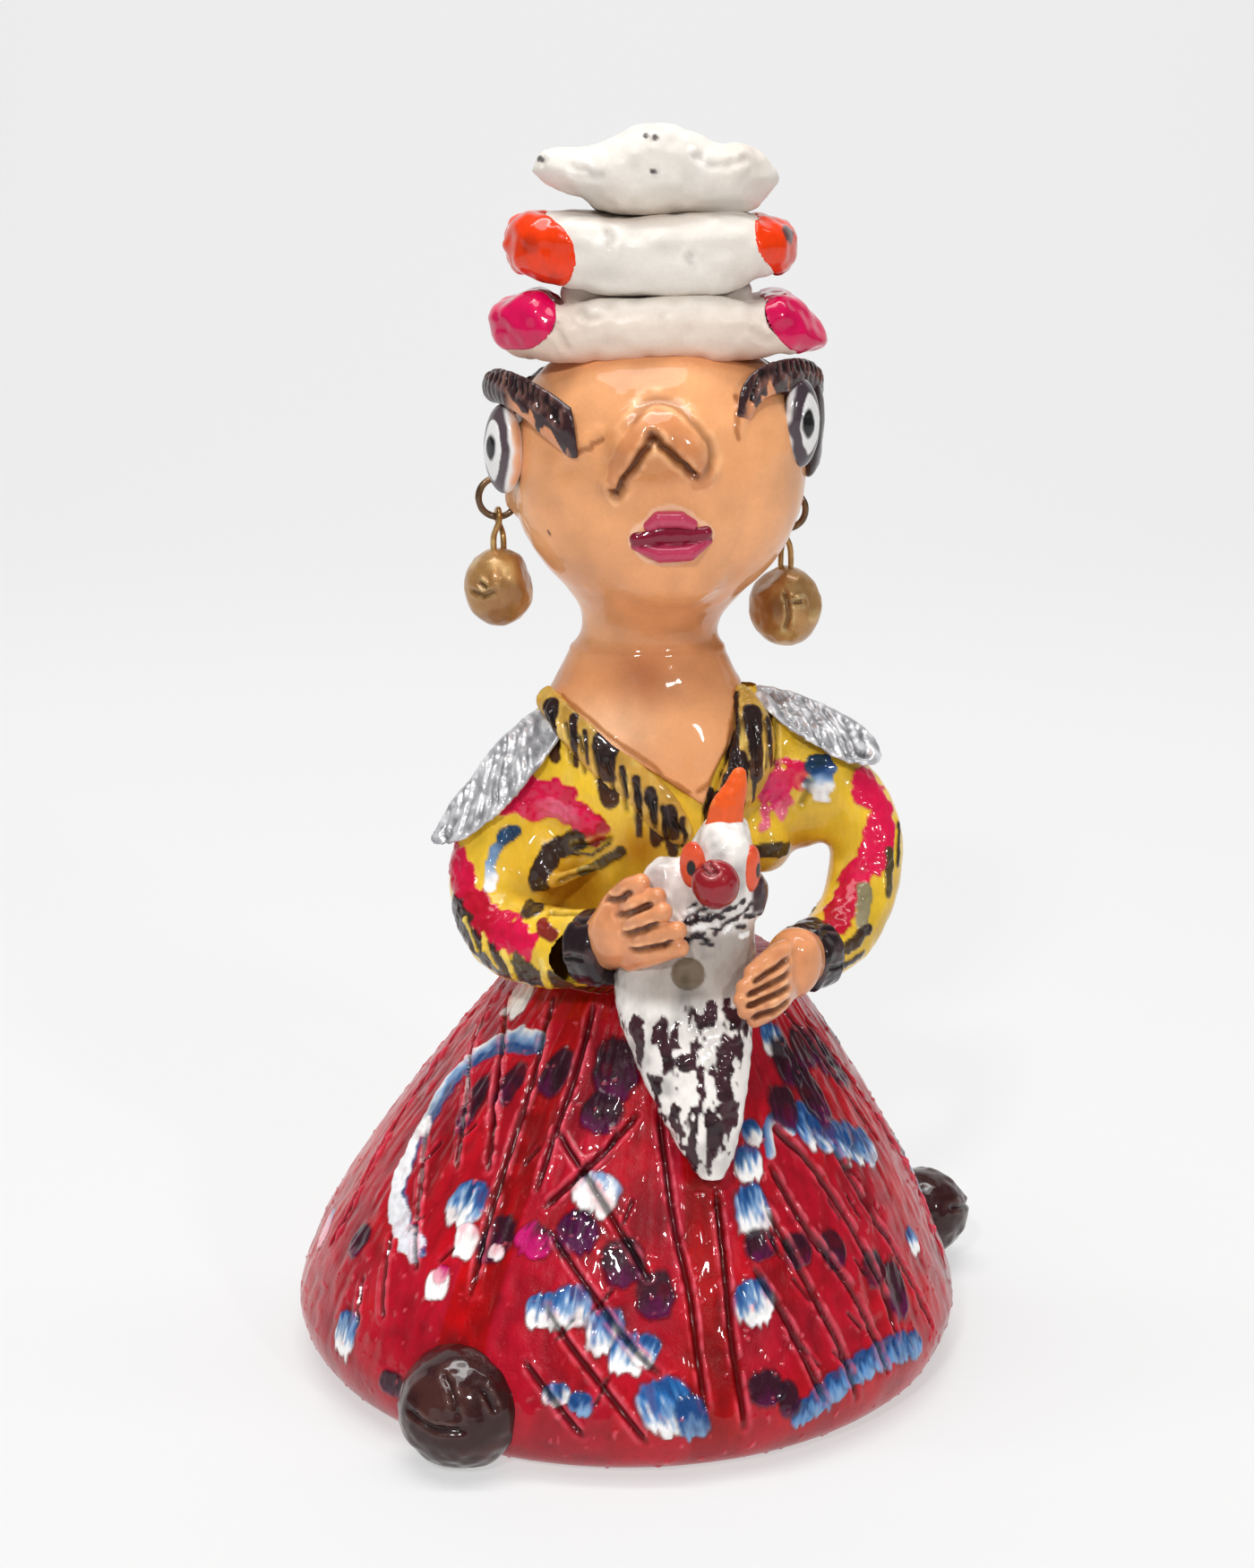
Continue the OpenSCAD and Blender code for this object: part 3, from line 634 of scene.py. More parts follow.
def skirt_dabs(skin, rng):
    """The two arcs of pale strokes, then the blue, white, purple and pink dabs between the lines."""
    arc = [(229, 58), (221, 57.6), (212, 55.6), (206, 52), (203.6, 47.5), (204.8, 42.5), (207, 37.5),
           (211, 33), (217, 30.2), (224, 28.2)]
    skin.stroke(skin.line(arc), 4.2, (WHITE, PALE_BLUE, BLUE, (54, 78, 120)), across=True, lift=0.16,
                ragged=0.3)
    skin.stroke(skin.line(arc[5:]), 3.4, (WHITE, (214, 214, 222)), lift=0.1, ragged=0.6)
    small_arc = [(302.5, 43.5), (304, 47), (307, 48), (311, 45.5)]
    skin.stroke(skin.line(small_arc), 1.7, (WHITE, PALE_BLUE, BLUE), across=True, ragged=0.5)
    blue = ((231.5, 36, 6, 6.5, 0), (214.5, 13, 5, 7, 8), (254.5, 24.6, 4.4, 5.4, 6),
            (259.3, 25.4, 5.2, 6.2, 0), (266, 22.6, 5, 6.4, 8), (270, 19.6, 4.4, 6.2, -6),
            (273, 20, 3.4, 4.6, -20), (296.4, 43, 4, 5, 0), (295.4, 36.8, 5, 7.6, 6),
            (293, 25, 6, 6.4, 10), (338, 23.3, 3.2, 4.6, 0), (317, 58, 4, 4.6, -10),
            (299, 47, 3, 3.6, 20))
    for k, (h, z, wide, high, turn) in enumerate(blue):
        skin.dab(h, z, 1.2 * wide, 1.15 * high, BLUE_DAB, turn, seed=k)
    skin.dab(260.3, 40.4, 7.4, 6.6, (PALE_BLUE, WHITE, WHITE), -8, seed=31, aslant=-0.2)
    skin.dab(276.3, 12.4, 8.6, 9.6, (BLUE, (36, 104, 168), PALE_BLUE, WHITE), 20, seed=32, aslant=-0.3)
    skin.dab(280.4, 10.4, 5, 8, (BLUE, BLUE, PALE_BLUE), 10, seed=33)
    skin.dab(258.6, 13.6, 4.4, 4, BLUE_DAB, 10, seed=34)
    skin.dab(262.6, 12.8, 4, 4, (BLUE, BLUE, PALE_BLUE), -10, seed=35)
    skin.dab(189.6, 21, 4, 7, (PALE_BLUE, PINK, PINK), 30, seed=36)
    for k, (h, z) in enumerate(((316.5, 46), (321.5, 44), (326, 42), (331, 40.6), (336, 38.6))):
        skin.dab(h, z, 5.4, 7.6, (BLUE, BLUE, (96, 140, 190), WHITE), 16, seed=40 + k)
    for k in range(9):
        h = 299 + 3.4 * k
        z = 8.2 + 4.2 * math.sin(math.radians(18 * k))
        skin.dab(h, z, 4.6, 5.4, (BLUE, BLUE, (80, 130, 185), PALE_BLUE), 8, seed=50 + k)
    purple = ((207, 25, 3.6, 5), (228.6, 9.5, 4, 4), (218, 48, 3, 8), (227.6, 52, 3, 6.4),
              (241, 55, 3.6, 6.4), (260, 56.4, 5.4, 8), (258.3, 50.6, 5, 5), (241.6, 32.6, 4, 6.4),
              (268, 31.6, 5, 6.4), (274.4, 27.4, 4.4, 6.4), (295.8, 32.4, 4.4, 4),
              (304, 30.4, 4, 4.6), (312.3, 29, 3.6, 6), (321.6, 24, 4, 5.4), (326, 19.6, 4.2, 8.4),
              (293, 13.2, 4.4, 5.4), (296.6, 11, 3, 5.4), (318.6, 54.5, 4, 7), (323.5, 49, 4, 9),
              (338, 53, 4, 7), (343, 50, 4, 7), (311, 49, 4.2, 6), (330, 55, 5, 6))
    for k, (h, z, wide, high) in enumerate(purple):
        skin.dab(h, z, 1.3 * wide, 1.2 * high, PURPLE_DAB, rng.uniform(-15, 15), 0.96, seed=70 + k,
                 ragged=0.08)
    skin.dab(258, 35.2, 6.4, 7, (BLACK_PURPLE, PURPLE, PURPLE), 0, seed=100)
    skin.dab(249.6, 33.4, 6, 5, (BLACK_PURPLE, MAGENTA, MAGENTA), -30, seed=101)
    skin.dab(242.4, 31, 2.6, 2.4, (PINK, WHITE), 0, seed=102)
    for k, (h, z, wide, high) in enumerate(((235, 31.4, 4.4, 5.4), (232.4, 25, 4, 5.4),
                                            (205, 62, 3, 6), (211, 62.4, 3, 6))):
        skin.dab(h, z, wide, high, PINK_DAB, 14, seed=110 + k)
    skin.dab(232.6, 26.4, 2.6, 3, (MAGENTA, PINK), 0, seed=120)
    # the sides and the back carry on in the same manner
    for k in range(62):
        h, z = rng.uniform(0, 172), rng.uniform(7, 60)
        colours = (BLUE_DAB, PURPLE_DAB, PINK_DAB, BLUE_DAB, PURPLE_DAB)[k % 5]
        skin.dab(h, z, rng.uniform(3.4, 5.6), rng.uniform(4.4, 6.8), colours, rng.uniform(-20, 20),
                 seed=130 + k)


def build_skirt():
    rng = np.random.default_rng(11)
    skin = Skirt()
    skirt_bands(skin)
    skirt_dabs(skin, rng)
    skirt_lines(skin, rng)
    skin.cloud((120, 6, 20), 0.25, 0.2, 0.7, 2.2, 12)
    # Little crumbs of clay stand up, and pale pink specks are painted on them as glints.
    crumbs_and_glints = noise(skin.points, 1.1, 15) + 0.5 * noise(skin.points, 0.6, 16)
    skin.lift += 0.2 * ease(0.7, 1.1, crumbs_and_glints) * skin.outer
    skin.tint((228, 96, 112), 0.5 * ease(0.8, 1.15, crumbs_and_glints))
    # Painted shade in the hollows, and a painted highlight on what stands high.
    skin.shade_hollows(0.45)
    finish("skirt", skin, "skirt_paint", ["skirt_shell"], coat=0.5, coat_rough=0.05, bump=0.45,
           mottle=0.2)


# ---- more shapes for the clay

def loft(sections, lift=0.0):
    """A body of level ovals: each section is height, centre x and y, half width, half depth."""
    rows = curve(sections, 4)

    def distance(p):
        cx, cy, w, d = (np.interp(p[..., 2], rows[:, 0], rows[:, k]) for k in range(1, 5))
        x, y = p[..., 0] - cx, p[..., 1] - cy
        k0 = np.hypot(x / w, y / d)
        k1 = np.hypot(x / w ** 2, y / d ** 2)
        side = k0 * (k0 - 1) / np.maximum(k1, 1e-6) - lift
        return np.maximum(side, np.maximum(rows[0, 0] - p[..., 2], p[..., 2] - rows[-1, 0]))
    reach = vec(rows[:, 3].max() + 4, rows[:, 4].max() + 4)
    low = vec(rows[:, 1].min() - reach[0], rows[:, 2].min() - reach[1], rows[0, 0])
    high = vec(rows[:, 1].max() + reach[0], rows[:, 2].max() + reach[1], rows[-1, 0])
    return distance, low, high


def half_space(point, normal):
    """Everything behind a plane, so its distance grows along the normal."""
    n = unit(vec(*normal))
    return lambda p: (p - vec(*point)) @ n


def rounded(outside, rounding):
    """The distance to a body with rounded edges, from how far it is past each of its sides."""
    past, within = np.maximum(outside, 0), np.minimum(outside.max(-1), 0)
    return np.linalg.norm(past, axis=-1) + within - rounding


def polar(q, n):
    """Distances from an axis, and along it."""
    t = q @ n
    return np.sqrt(np.maximum((q * q).sum(-1) - t * t, 0)), t


def keep(shape, *limits):
    """A shape cut off by distance functions."""
    distance, low, high = shape

    def cut_off(p):
        d = distance(p)
        for limit in limits:
            d = np.maximum(d, limit(p))
        return d
    return cut_off, low, high


def slab(centre, half, rounding):
    """A box with rounded edges."""
    c, h = vec(*centre), vec(*half)

    def distance(p):
        return rounded(np.abs(p - c) - (h - rounding), rounding)
    return distance, c - h - 1, c + h + 1


def puck(centre, way, radius, half, rounding):
    """A short cylinder with rounded edges."""
    c, n = vec(*centre), unit(vec(*way))

    def distance(p):
        r, t = polar(p - c, n)
        return rounded(np.stack([r - radius + rounding, np.abs(t) - half + rounding], -1), rounding)
    return distance, c - radius - half, c + radius + half


def hoop(centre, axis, radius, wire):
    """A ring of wire, for cutting its tunnel."""
    c, n = vec(*centre), unit(vec(*axis))

    def distance(p):
        r, t = polar(p - c, n)
        return np.hypot(r - radius, t) - wire
    return distance, c - radius - wire, c + radius + wire


def below(z):
    """Everything below a height, for cutting a block of clay level."""
    return (lambda p: p[..., 2] - z), vec(-60, -60, z - 4), vec(60, 60, z)


def beyond(point, way):
    """The outside of a plane, for slicing a flat off a lump."""
    n = unit(vec(*way))
    return (lambda p: -((p - point) @ n)), point - 6, point + 6


def smooth_rope(path, radii, flat=None, thin=1.0):
    """A rope along a smooth curve through points."""
    line = curve(np.column_stack([path, radii]), 4)
    return rope(line[:, :3], line[:, 3], flat, thin)


def turned(heading, tilt=0.0):
    """Axes for a ball whose first axis points along a heading."""
    a, b = math.radians(heading), math.radians(tilt)
    out = vec(math.cos(a) * math.cos(b), math.sin(a) * math.cos(b), math.sin(b))
    side = unit(np.cross((0, 0, 1), out))
    return np.stack([out, side, np.cross(out, side)], 1)


# ---- head

# each row is a level section: height, centre x and y, half width, half depth
HEAD = ((110, 5, 2, 13.2, 11.6), (112, 4.6, 2, 12.4, 11.2), (115, 4, 2, 11.5, 10.6),
        (119, 3.8, 2, 10.9, 10.3), (122, 4, 1.6, 11, 10.8), (125, 4.4, 1, 12.2, 12.6),
        (128, 4.8, 0, 14.4, 14.8), (131, 5, -0.6, 17.2, 17), (134.5, 5, -1, 19.8, 18.6),
        (138, 5, -1, 21.6, 19.4), (142, 5, -1, 22.8, 20), (147, 5, -1, 23.2, 20.2),
        (152, 5, -1, 23, 19.8), (156, 5, -1, 22.4, 18.8), (160, 5, -1, 20.4, 17),
        (163, 5, -1, 17.6, 14.8), (165.3, 5, -1, 14, 12.4))
BLOUSE = ((65.5, 3, 0, 17.5, 13), (72, 3.5, 0, 16.8, 12.6), (78, 4, 0, 16.8, 12.8),
          (84, 4, 0, 17.8, 13.4), (90, 4.5, 0, 19, 13.8), (96, 4.5, 0, 20.4, 13.6),
          (101, 4.8, 0.5, 20.6, 13), (105, 5, 1, 18.6, 12.8), (108, 5, 1.5, 16, 12.6),
          (110, 5, 2, 14, 12.4))
NECK = ((96, 4.6, 1, 14, 9), (103, 4.8, 0.6, 17.8, 12), (107, 4.4, 1.2, 17, 12.2),
        (110, 3.6, 1.7, 15.6, 12), (113, 3.2, 2, 13.7, 11.4), (116, 3.2, 2, 12.4, 10.8),
        (119, 3.4, 2, 11.3, 10.4), (122, 3.8, 1.6, 11.1, 10.8))
CHEST = BLOUSE[:-3] + ((105, 4.8, 1, 18.6, 12.8), (109, 4, 1.6, 16.4, 12.2), (113, 3.2, 2, 13.4, 11.2),
                       (117, 3.2, 2, 11, 9.4))
LEFT_RING, RIGHT_RING, RING_R, RING_TURN = (-20.4, -1.6, 142.4), (26, 10, 138.9), 3.1, 12
WIRE, TUNNEL = 0.575, 0.74


def neckline(p):
    """Distance outside the V of bare skin on the chest."""
    left = half_space((10, 0, 96.6), (-0.57, 0, -0.82))(p)
    right = half_space((12.5, 0, 96.6), (0.955, 0, -0.3))(p)
    return np.maximum(np.maximum(left, right), p[..., 1] - 2)


def spot_at(p, x, z, wide, high):
    """A soft spot round a place, seen from the front: 1 in its middle, and 0 far off."""
    return np.exp(-((p[:, 0] - x) / wide) ** 2 - ((p[:, 2] - z) / high) ** 2)


def head_clay():
    """Head, neck, chest and nose as one lump, with the ear lobes and the rings' tunnels."""
    clay = Clay((-22, -32, 93), (34, 25, 168), 0.34)
    clay.add(loft(NECK + HEAD[5:]), 0.1)
    clay.add(keep(loft(CHEST, 0.5), neckline), 4)
    for at, side in ((LEFT_RING, 1), (RIGHT_RING, -1)):
        clay.add(ball(vec(*at) + vec(3.1, 0.5, 0) * side, (2, 1.9, 2.8)), 1.5)
    # the nose: a low dome, whose sides run down into two wings
    clay.add(ball((4.8, -18.2, 152.6), (8.2, 6, 6.4)), 1.5)
    clay.add(rope([(0.4, -21.4, 151.6), (-2.4, -20.4, 146.6)], (2, 1.3)), 2)
    clay.add(rope([(9.4, -20.8, 151.4), (11.4, -19.6, 148.2)], (2.2, 1.6)), 2)
    # muzzle, chin and the little ridges inside the brows
    clay.add(ball((6.4, -16, 138.6), (8, 4.1, 4.6)), 4)
    clay.add(ball((7, -15.6, 131.6), (6.4, 4, 4)), 4)
    clay.add(rope([(-8.4, -16.6, 151), (-6, -17.6, 152.4), (-4.2, -18, 154.4)], (0.9, 1.1, 0.7)), 1.2)
    clay.add(rope([(16.6, -16.6, 154.4), (17.6, -16.4, 157.6)], (0.8, 0.9)), 1.2)
    clay.cut(hoop(LEFT_RING, turned(90 + RING_TURN)[:, 0], RING_R, TUNNEL), 0.1)
    clay.cut(hoop(RIGHT_RING, turned(90 - RING_TURN)[:, 0], RING_R, TUNNEL), 0.1)
    return clay


def shade_head(skin):
    """Painted shade on the lower face, under the chin and on the nose, a painted shadow on the throat, and a
    painted highlight on the chest, over random darker and paler clouds.
    """
    p = skin.points
    # Painted shade on the lower face and under the chin, with random darker clouds.
    low = ease(140, 122, p[:, 2]) * ease(108, 116, p[:, 2])
    skin.tint(SKIN_SHADE, 0.45 * low + 0.16 * ease(-0.3, 0.7, noise(p, 12, 4)))
    skin.cloud(SKIN_LIGHT, 0.5, 0, 0.8, 16, 6)
    # A painted highlight on the chest.
    skin.tint((252, 206, 168), 0.5 * spot_at(p, -3, 107, 7, 4))
    # A painted shadow of the chin on the throat.
    skin.tint((176, 100, 58), 0.7 * spot_at(p, 2.6, 115.5, 4.2, 4))
    # Painted shade on the nose.
    skin.tint((200, 130, 76), 0.8 * (spot_at(p, 5.4, 151, 7.6, 5.4) * ease(-16, -20, p[:, 1])))


def draw_nose(skin):
    """An arch of painted shade over the dome with a groove round it, and the V of its two wings, with
    painted shade along their furrows.
    """
    arch = ((-1.6, 148.4), (0.8, 153), (3.8, 157.2), (7.6, 154.8), (10.8, 151), (11.4, 148))
    # Painted shade in an arch over the dome.
    skin.stroke(skin.bend(arch), 4.6, ((190, 112, 66),), lift=0, strength=0.5, ragged=0.2)
    rim = ((-0.4, 156), (3, 159.4), (7.4, 159), (11.2, 155.4), (13.2, 151), (11.4, 147))
    skin.groove(skin.bend(rim), 0.9, 0.4, 0.12, 0.16, SKIN_LIGHT)
    for path in (((3.6, 155.2), (1.4, 150.4), (-1.2, 144.9), (-2.6, 145.4)),
                 ((3.6, 155.2), (7.2, 151), (10.4, 147.4))):
        line = skin.bend(path)
        skin.groove(line, 0.62, 1.5, 0.3, 0.5, SKIN_LIGHT)
        # Painted shade along the furrow.
        skin.stroke(line, 0.9, ((116, 54, 24),), lift=0, strength=0.65, ragged=0.25)


def draw_skin_lines(skin):
    """Painted shade in the creases inside the brows, the line round the mouth, a mole, and the edge at the
    blouse.
    """
    for path in (((-9.4, 151.2), (-6.6, 151.6), (-4.2, 153.6)), ((17.2, 153.6), (16.4, 157), (17, 159.6))):
        # Painted shade in the creases inside the brows.
        skin.stroke(skin.bend(path), 0.9, ((170, 98, 52),), lift=-0.15, strength=0.7)
    outline = ((0.2, 137.6), (0.8, 140), (2.8, 141.6), (4.4, 143.4), (8.4, 143.5), (10.8, 141.6),
               (13, 140.2), (12.8, 137.8), (9, 134.9), (3, 134.9), (0.2, 137.6))
    skin.stroke(skin.bend(outline), 0.8, ((250, 206, 176),), lift=0.05, strength=0.6)
    skin.stroke(skin.on_front(((-12.5, 138.6), (-12.3, 138.2))), 0.5, ((60, 30, 20),), lift=0)
    for path in (((-10.6, 111.4), (0, 104.2), (9.8, 97.4)), ((17.6, 111), (15.4, 102), (11.6, 97.2))):
        skin.stroke(skin.on_front(curve(path, 5)), 0.8, ((170, 100, 40),), lift=0.1, strength=0.8)


def build_head():
    skin = head_clay().skin(SKIN, lumps=0.16, size=8)
    shade_head(skin)
    draw_nose(skin)
    draw_skin_lines(skin)
    # Painted shade in the hollows, and a painted highlight on what stands high.
    skin.shade_hollows(0.25)
    skin.lift += 0.05 * noise(skin.points, 2.2, 12)
    gloss = paint("skin_varnish", rough=0.36, coat=0.6, coat_rough=0.07, bump=0.24, mottle=0.07,
                  streak=EVEN)
    piece("head_and_nose", skin, gloss, ["head_and_neck", "nose"])


def build_lips():
    gloss = paint("lip_varnish", rough=0.25, coat=0.8, coat_rough=0.05, bump=0.2)
    upper = Clay((-2, -26, 134), (16, -15, 146), 0.22)
    upper.add(rope([(3.4, -20.9, 140.6), (4.8, -21.2, 141.6), (8, -21.2, 141.6), (9.8, -20.8, 140.8)],
                   (1.0, 1.3, 1.3, 0.9)), 0.6)
    skin = upper.skin((198, 66, 98), lumps=0.06, size=3)
    skin.tint((150, 22, 60), 0.9 * ease(140.6, 139.6, skin.points[:, 2]))
    piece("upper_lip", skin, gloss, ["upper_lip"])
    lower = Clay((-2, -26, 130), (16, -15, 146), 0.22)
    lower.add(rope([(1.2, -20.2, 137.4), (5, -21.3, 136.3), (9.4, -21.1, 136.5), (12.4, -19.6, 138.2)],
                   (0.7, 1.3, 1.3, 0.7)), 0.6)
    lower.add(rope([(1.6, -20.2, 138.6), (11.8, -20, 139.4)], (1.3, 1.2)), 0.4)
    lower.add(ball((6.6, -20.2, 139.2), (5.4, 1.4, 1.9)), 0.3)
    skin = lower.skin((192, 58, 92), lumps=0.06, size=3)
    x, z = skin.points[:, 0], skin.points[:, 2]
    seam = z - 0.08 * (x - 6.5) + 0.3 * noise(skin.points, 1.5, 3)
    skin.tint((128, 14, 46), 0.95 * ease(137.3, 138, seam))
    piece("lower_lip", skin, gloss, ["lower_lip"])


def build_eye(name, centre, heading, pupil, outline):
    """A bulging pad, white inside a grey outline, with a black pupil."""
    axes = turned(heading)
    clay = Clay.about(centre, 10, 0.25)
    clay.add(ball(centre, (2.4, 4.4, 6.9), axes), 0.3)
    skin = clay.skin((238, 236, 234), lumps=0.08, size=4)
    q = (skin.points - vec(*centre)) @ axes
    wobble = 0.12 * noise(skin.points, 1.6, 4)
    almond = (np.abs(q[:, 1] - 0.4 * pupil[0]) / 2.6) ** 1.6 + (np.abs(q[:, 2]) / 4.9) ** 1.6 + wobble
    skin.tint(outline, ease(0.9, 1.02, almond) * ease(1.95, 1.7, almond))
    skin.tint((236, 178, 140), ease(2.0, 2.3, almond))
    side, up = pupil
    spot = np.hypot((q[:, 1] - side) / 1.4, (q[:, 2] - up) / 2.1) + 2 * wobble
    skin.tint((14, 10, 12), ease(1.15, 0.85, spot))
    skin.lift += 0.12 * ease(1.1, 0.8, spot) + 0.1 * ease(1.0, 0.8, almond)
    finish(name, skin, "eye_paint", rough=0.25, coat=0.9, coat_rough=0.05, bump=0.12, mottle=0.06)


def bristle_marks(skin, path, slant, seed):
    """Scratches twenty lines across a strip that follows a path."""
    rng = np.random.default_rng(seed)
    line = curve(path, 8)
    for t in np.linspace(0.03, 0.97, 20):
        at = line[int(t * (len(line) - 1))]
        end = vec(slant, 0, -1) * 3.6 * rng.uniform(0.75, 1.1)
        p = skin.on_surface([at - end, at - 0.3 * end, at + 0.4 * end, at + end])
        skin.groove(p, 0.34 * rng.uniform(0.7, 1.2), 0.25, 0.14, 0.8, (150, 104, 92))


def build_brow(name, path, radii, flat, slant, bare, seed, end):
    """A flat ledge, blunt at its inner end, with bristle marks and a ragged lower edge."""
    points = vec(*path)
    clay = Clay.about(points, 6, 0.25)
    clay.add(keep(smooth_rope(points, radii, flat, 0.3), half_space(*end)), 0.1)
    skin = clay.skin((52, 28, 32), lumps=0.12, size=3)
    bristle_marks(skin, points, slant, seed)
    p = skin.points
    ragged = noise(np.stack([p[:, 0] + 0.4 * p[:, 2], 0.2 * p[:, 2]], -1), 0.7, seed)
    order = np.argsort(points[:, 0])
    under = np.interp(p[:, 0], points[order, 0], points[order, 2] - np.array(radii)[order]) - p[:, 2]
    span = ease(bare[0] - 1, bare[0] + 1, p[:, 0]) * ease(bare[1] + 1, bare[1] - 1, p[:, 0])
    skin.tint((228, 152, 106), 0.95 * ease(-0.9, -0.5, under + 3 * ragged) * span)
    finish(name, skin, "dark_paint", coat=0.8, bump=0.3)


def build_hair():
    """A cap of clay over the back of the head, with furrows combed down it."""
    clay = Clay((-24, -6, 130), (34, 28, 168), 0.36)

    def behind(p):
        start = np.interp(p[..., 2], (130, 143, 147.5, 158, 163), (16, 14, 1.4, 1.4, 7))
        return start - p[..., 1]

    def above(p):
        return 133.4 - p[..., 2]
    clay.add(keep(loft(HEAD, 2.3), behind, above), 0.8)
    clay.add(ball((28.7, -0.6, 154), (2.4, 5, 8.6)), 1)
    skin = clay.skin((46, 27, 28), lumps=0.2, size=5)
    for heading in range(4, 178, 5):
        a = math.radians(heading)
        line = [(5 + 25.4 * math.cos(a) * s, -1 + 22.4 * math.sin(a) * s, z)
                for z, s in ((164, 0.78), (158, 0.98), (150, 1.0), (142, 1.0), (135, 0.9))]
        skin.groove(skin.on_surface(curve(line, 5)), 0.42, 0.4, 0.18, 0.6, (104, 74, 66))
    finish("hair", skin, "dark_paint", ["hair_back"], rough=0.32, bump=0.3)


def build_face():
    build_head()
    build_lips()
    build_eye("left_eye", (-19.2, -6.6, 150.6), 214, (0.2, 0.2), (84, 70, 76))
    build_eye("right_eye", (26.9, -7, 154.6), 328, (-1.6, 0.2), (70, 56, 64))
    build_brow("left_eyebrow", ((-20.4, 2, 159.4), (-20.6, -3, 160), (-18.2, -8.6, 160),
                                (-14.4, -13.6, 158.4), (-11.2, -16.2, 156.2), (-8, -17.6, 153.8)),
               (2, 2.6, 2.7, 2.9, 3.2, 3.5), (-0.66, -0.74, 0.12), 0.35, (-18, -9), 3,
               ((-7.9, 0, 155), (0.98, 0, 0.12)))
    build_brow("right_eyebrow", ((17.6, -16.8, 156.4), (19, -15.8, 160.2), (21.8, -13.2, 161.9),
                                 (25.2, -8.4, 162), (28.2, -3.2, 161), (29.4, 1.4, 159)),
               (1.5, 2.2, 2.4, 2.6, 2.9, 2.2), (0.66, -0.74, 0.12), -0.5, (18, 24.5), 4,
               ((17, 0, 156.6), (-0.3, 0, -0.95)))
    build_hair()


# ---- blouse, arms and hands

LEFT_ARM = ((-11.5, 0, 98), (-16.6, -1, 93.4), (-20.4, -2.6, 87), (-21.8, -5.4, 79.8),
            (-19.2, -11, 73.8), (-12.6, -17.8, 73), (-5.4, -23.4, 74.8))
RIGHT_ARM = ((23, 0, 98.6), (30.4, -0.5, 97.6), (36.2, -1, 93), (38.9, -3, 86.4),
             (38, -7, 79), (34.4, -12.4, 73.8), (29.6, -17.2, 72.2))
LEFT_ARM_R = (6.4, 6.8, 6.9, 6.9, 6.9, 6.5, 5.7)
RIGHT_ARM_R = (6.3, 6.2, 6, 5.9, 5.8, 5.5, 4.9)
COLLAR_LEFT = ((-12.2, -3.6, 110), (-8.6, -8.2, 106.8), (-4.4, -11, 103), (0.6, -12.6, 98.8),
               (4.8, -13.4, 94.8), (8, -13.9, 91.2))
COLLAR_RIGHT = ((18.2, -4, 110.8), (20, -6.6, 106.8), (20, -8.6, 102.4), (17.8, -11, 97.6),
                (14.4, -12.8, 93))


def paint_yellow(skin):
    """Brushed yellow with clouds of ochre and streaks of a paler coat."""
    skin.cloud(OCHRE, 0.28, 0, 0.8, 6, 5)
    skin.cloud((238, 204, 96), 0.4, 0.1, 0.8, 2.2, 6, (1, 1, 0.4))


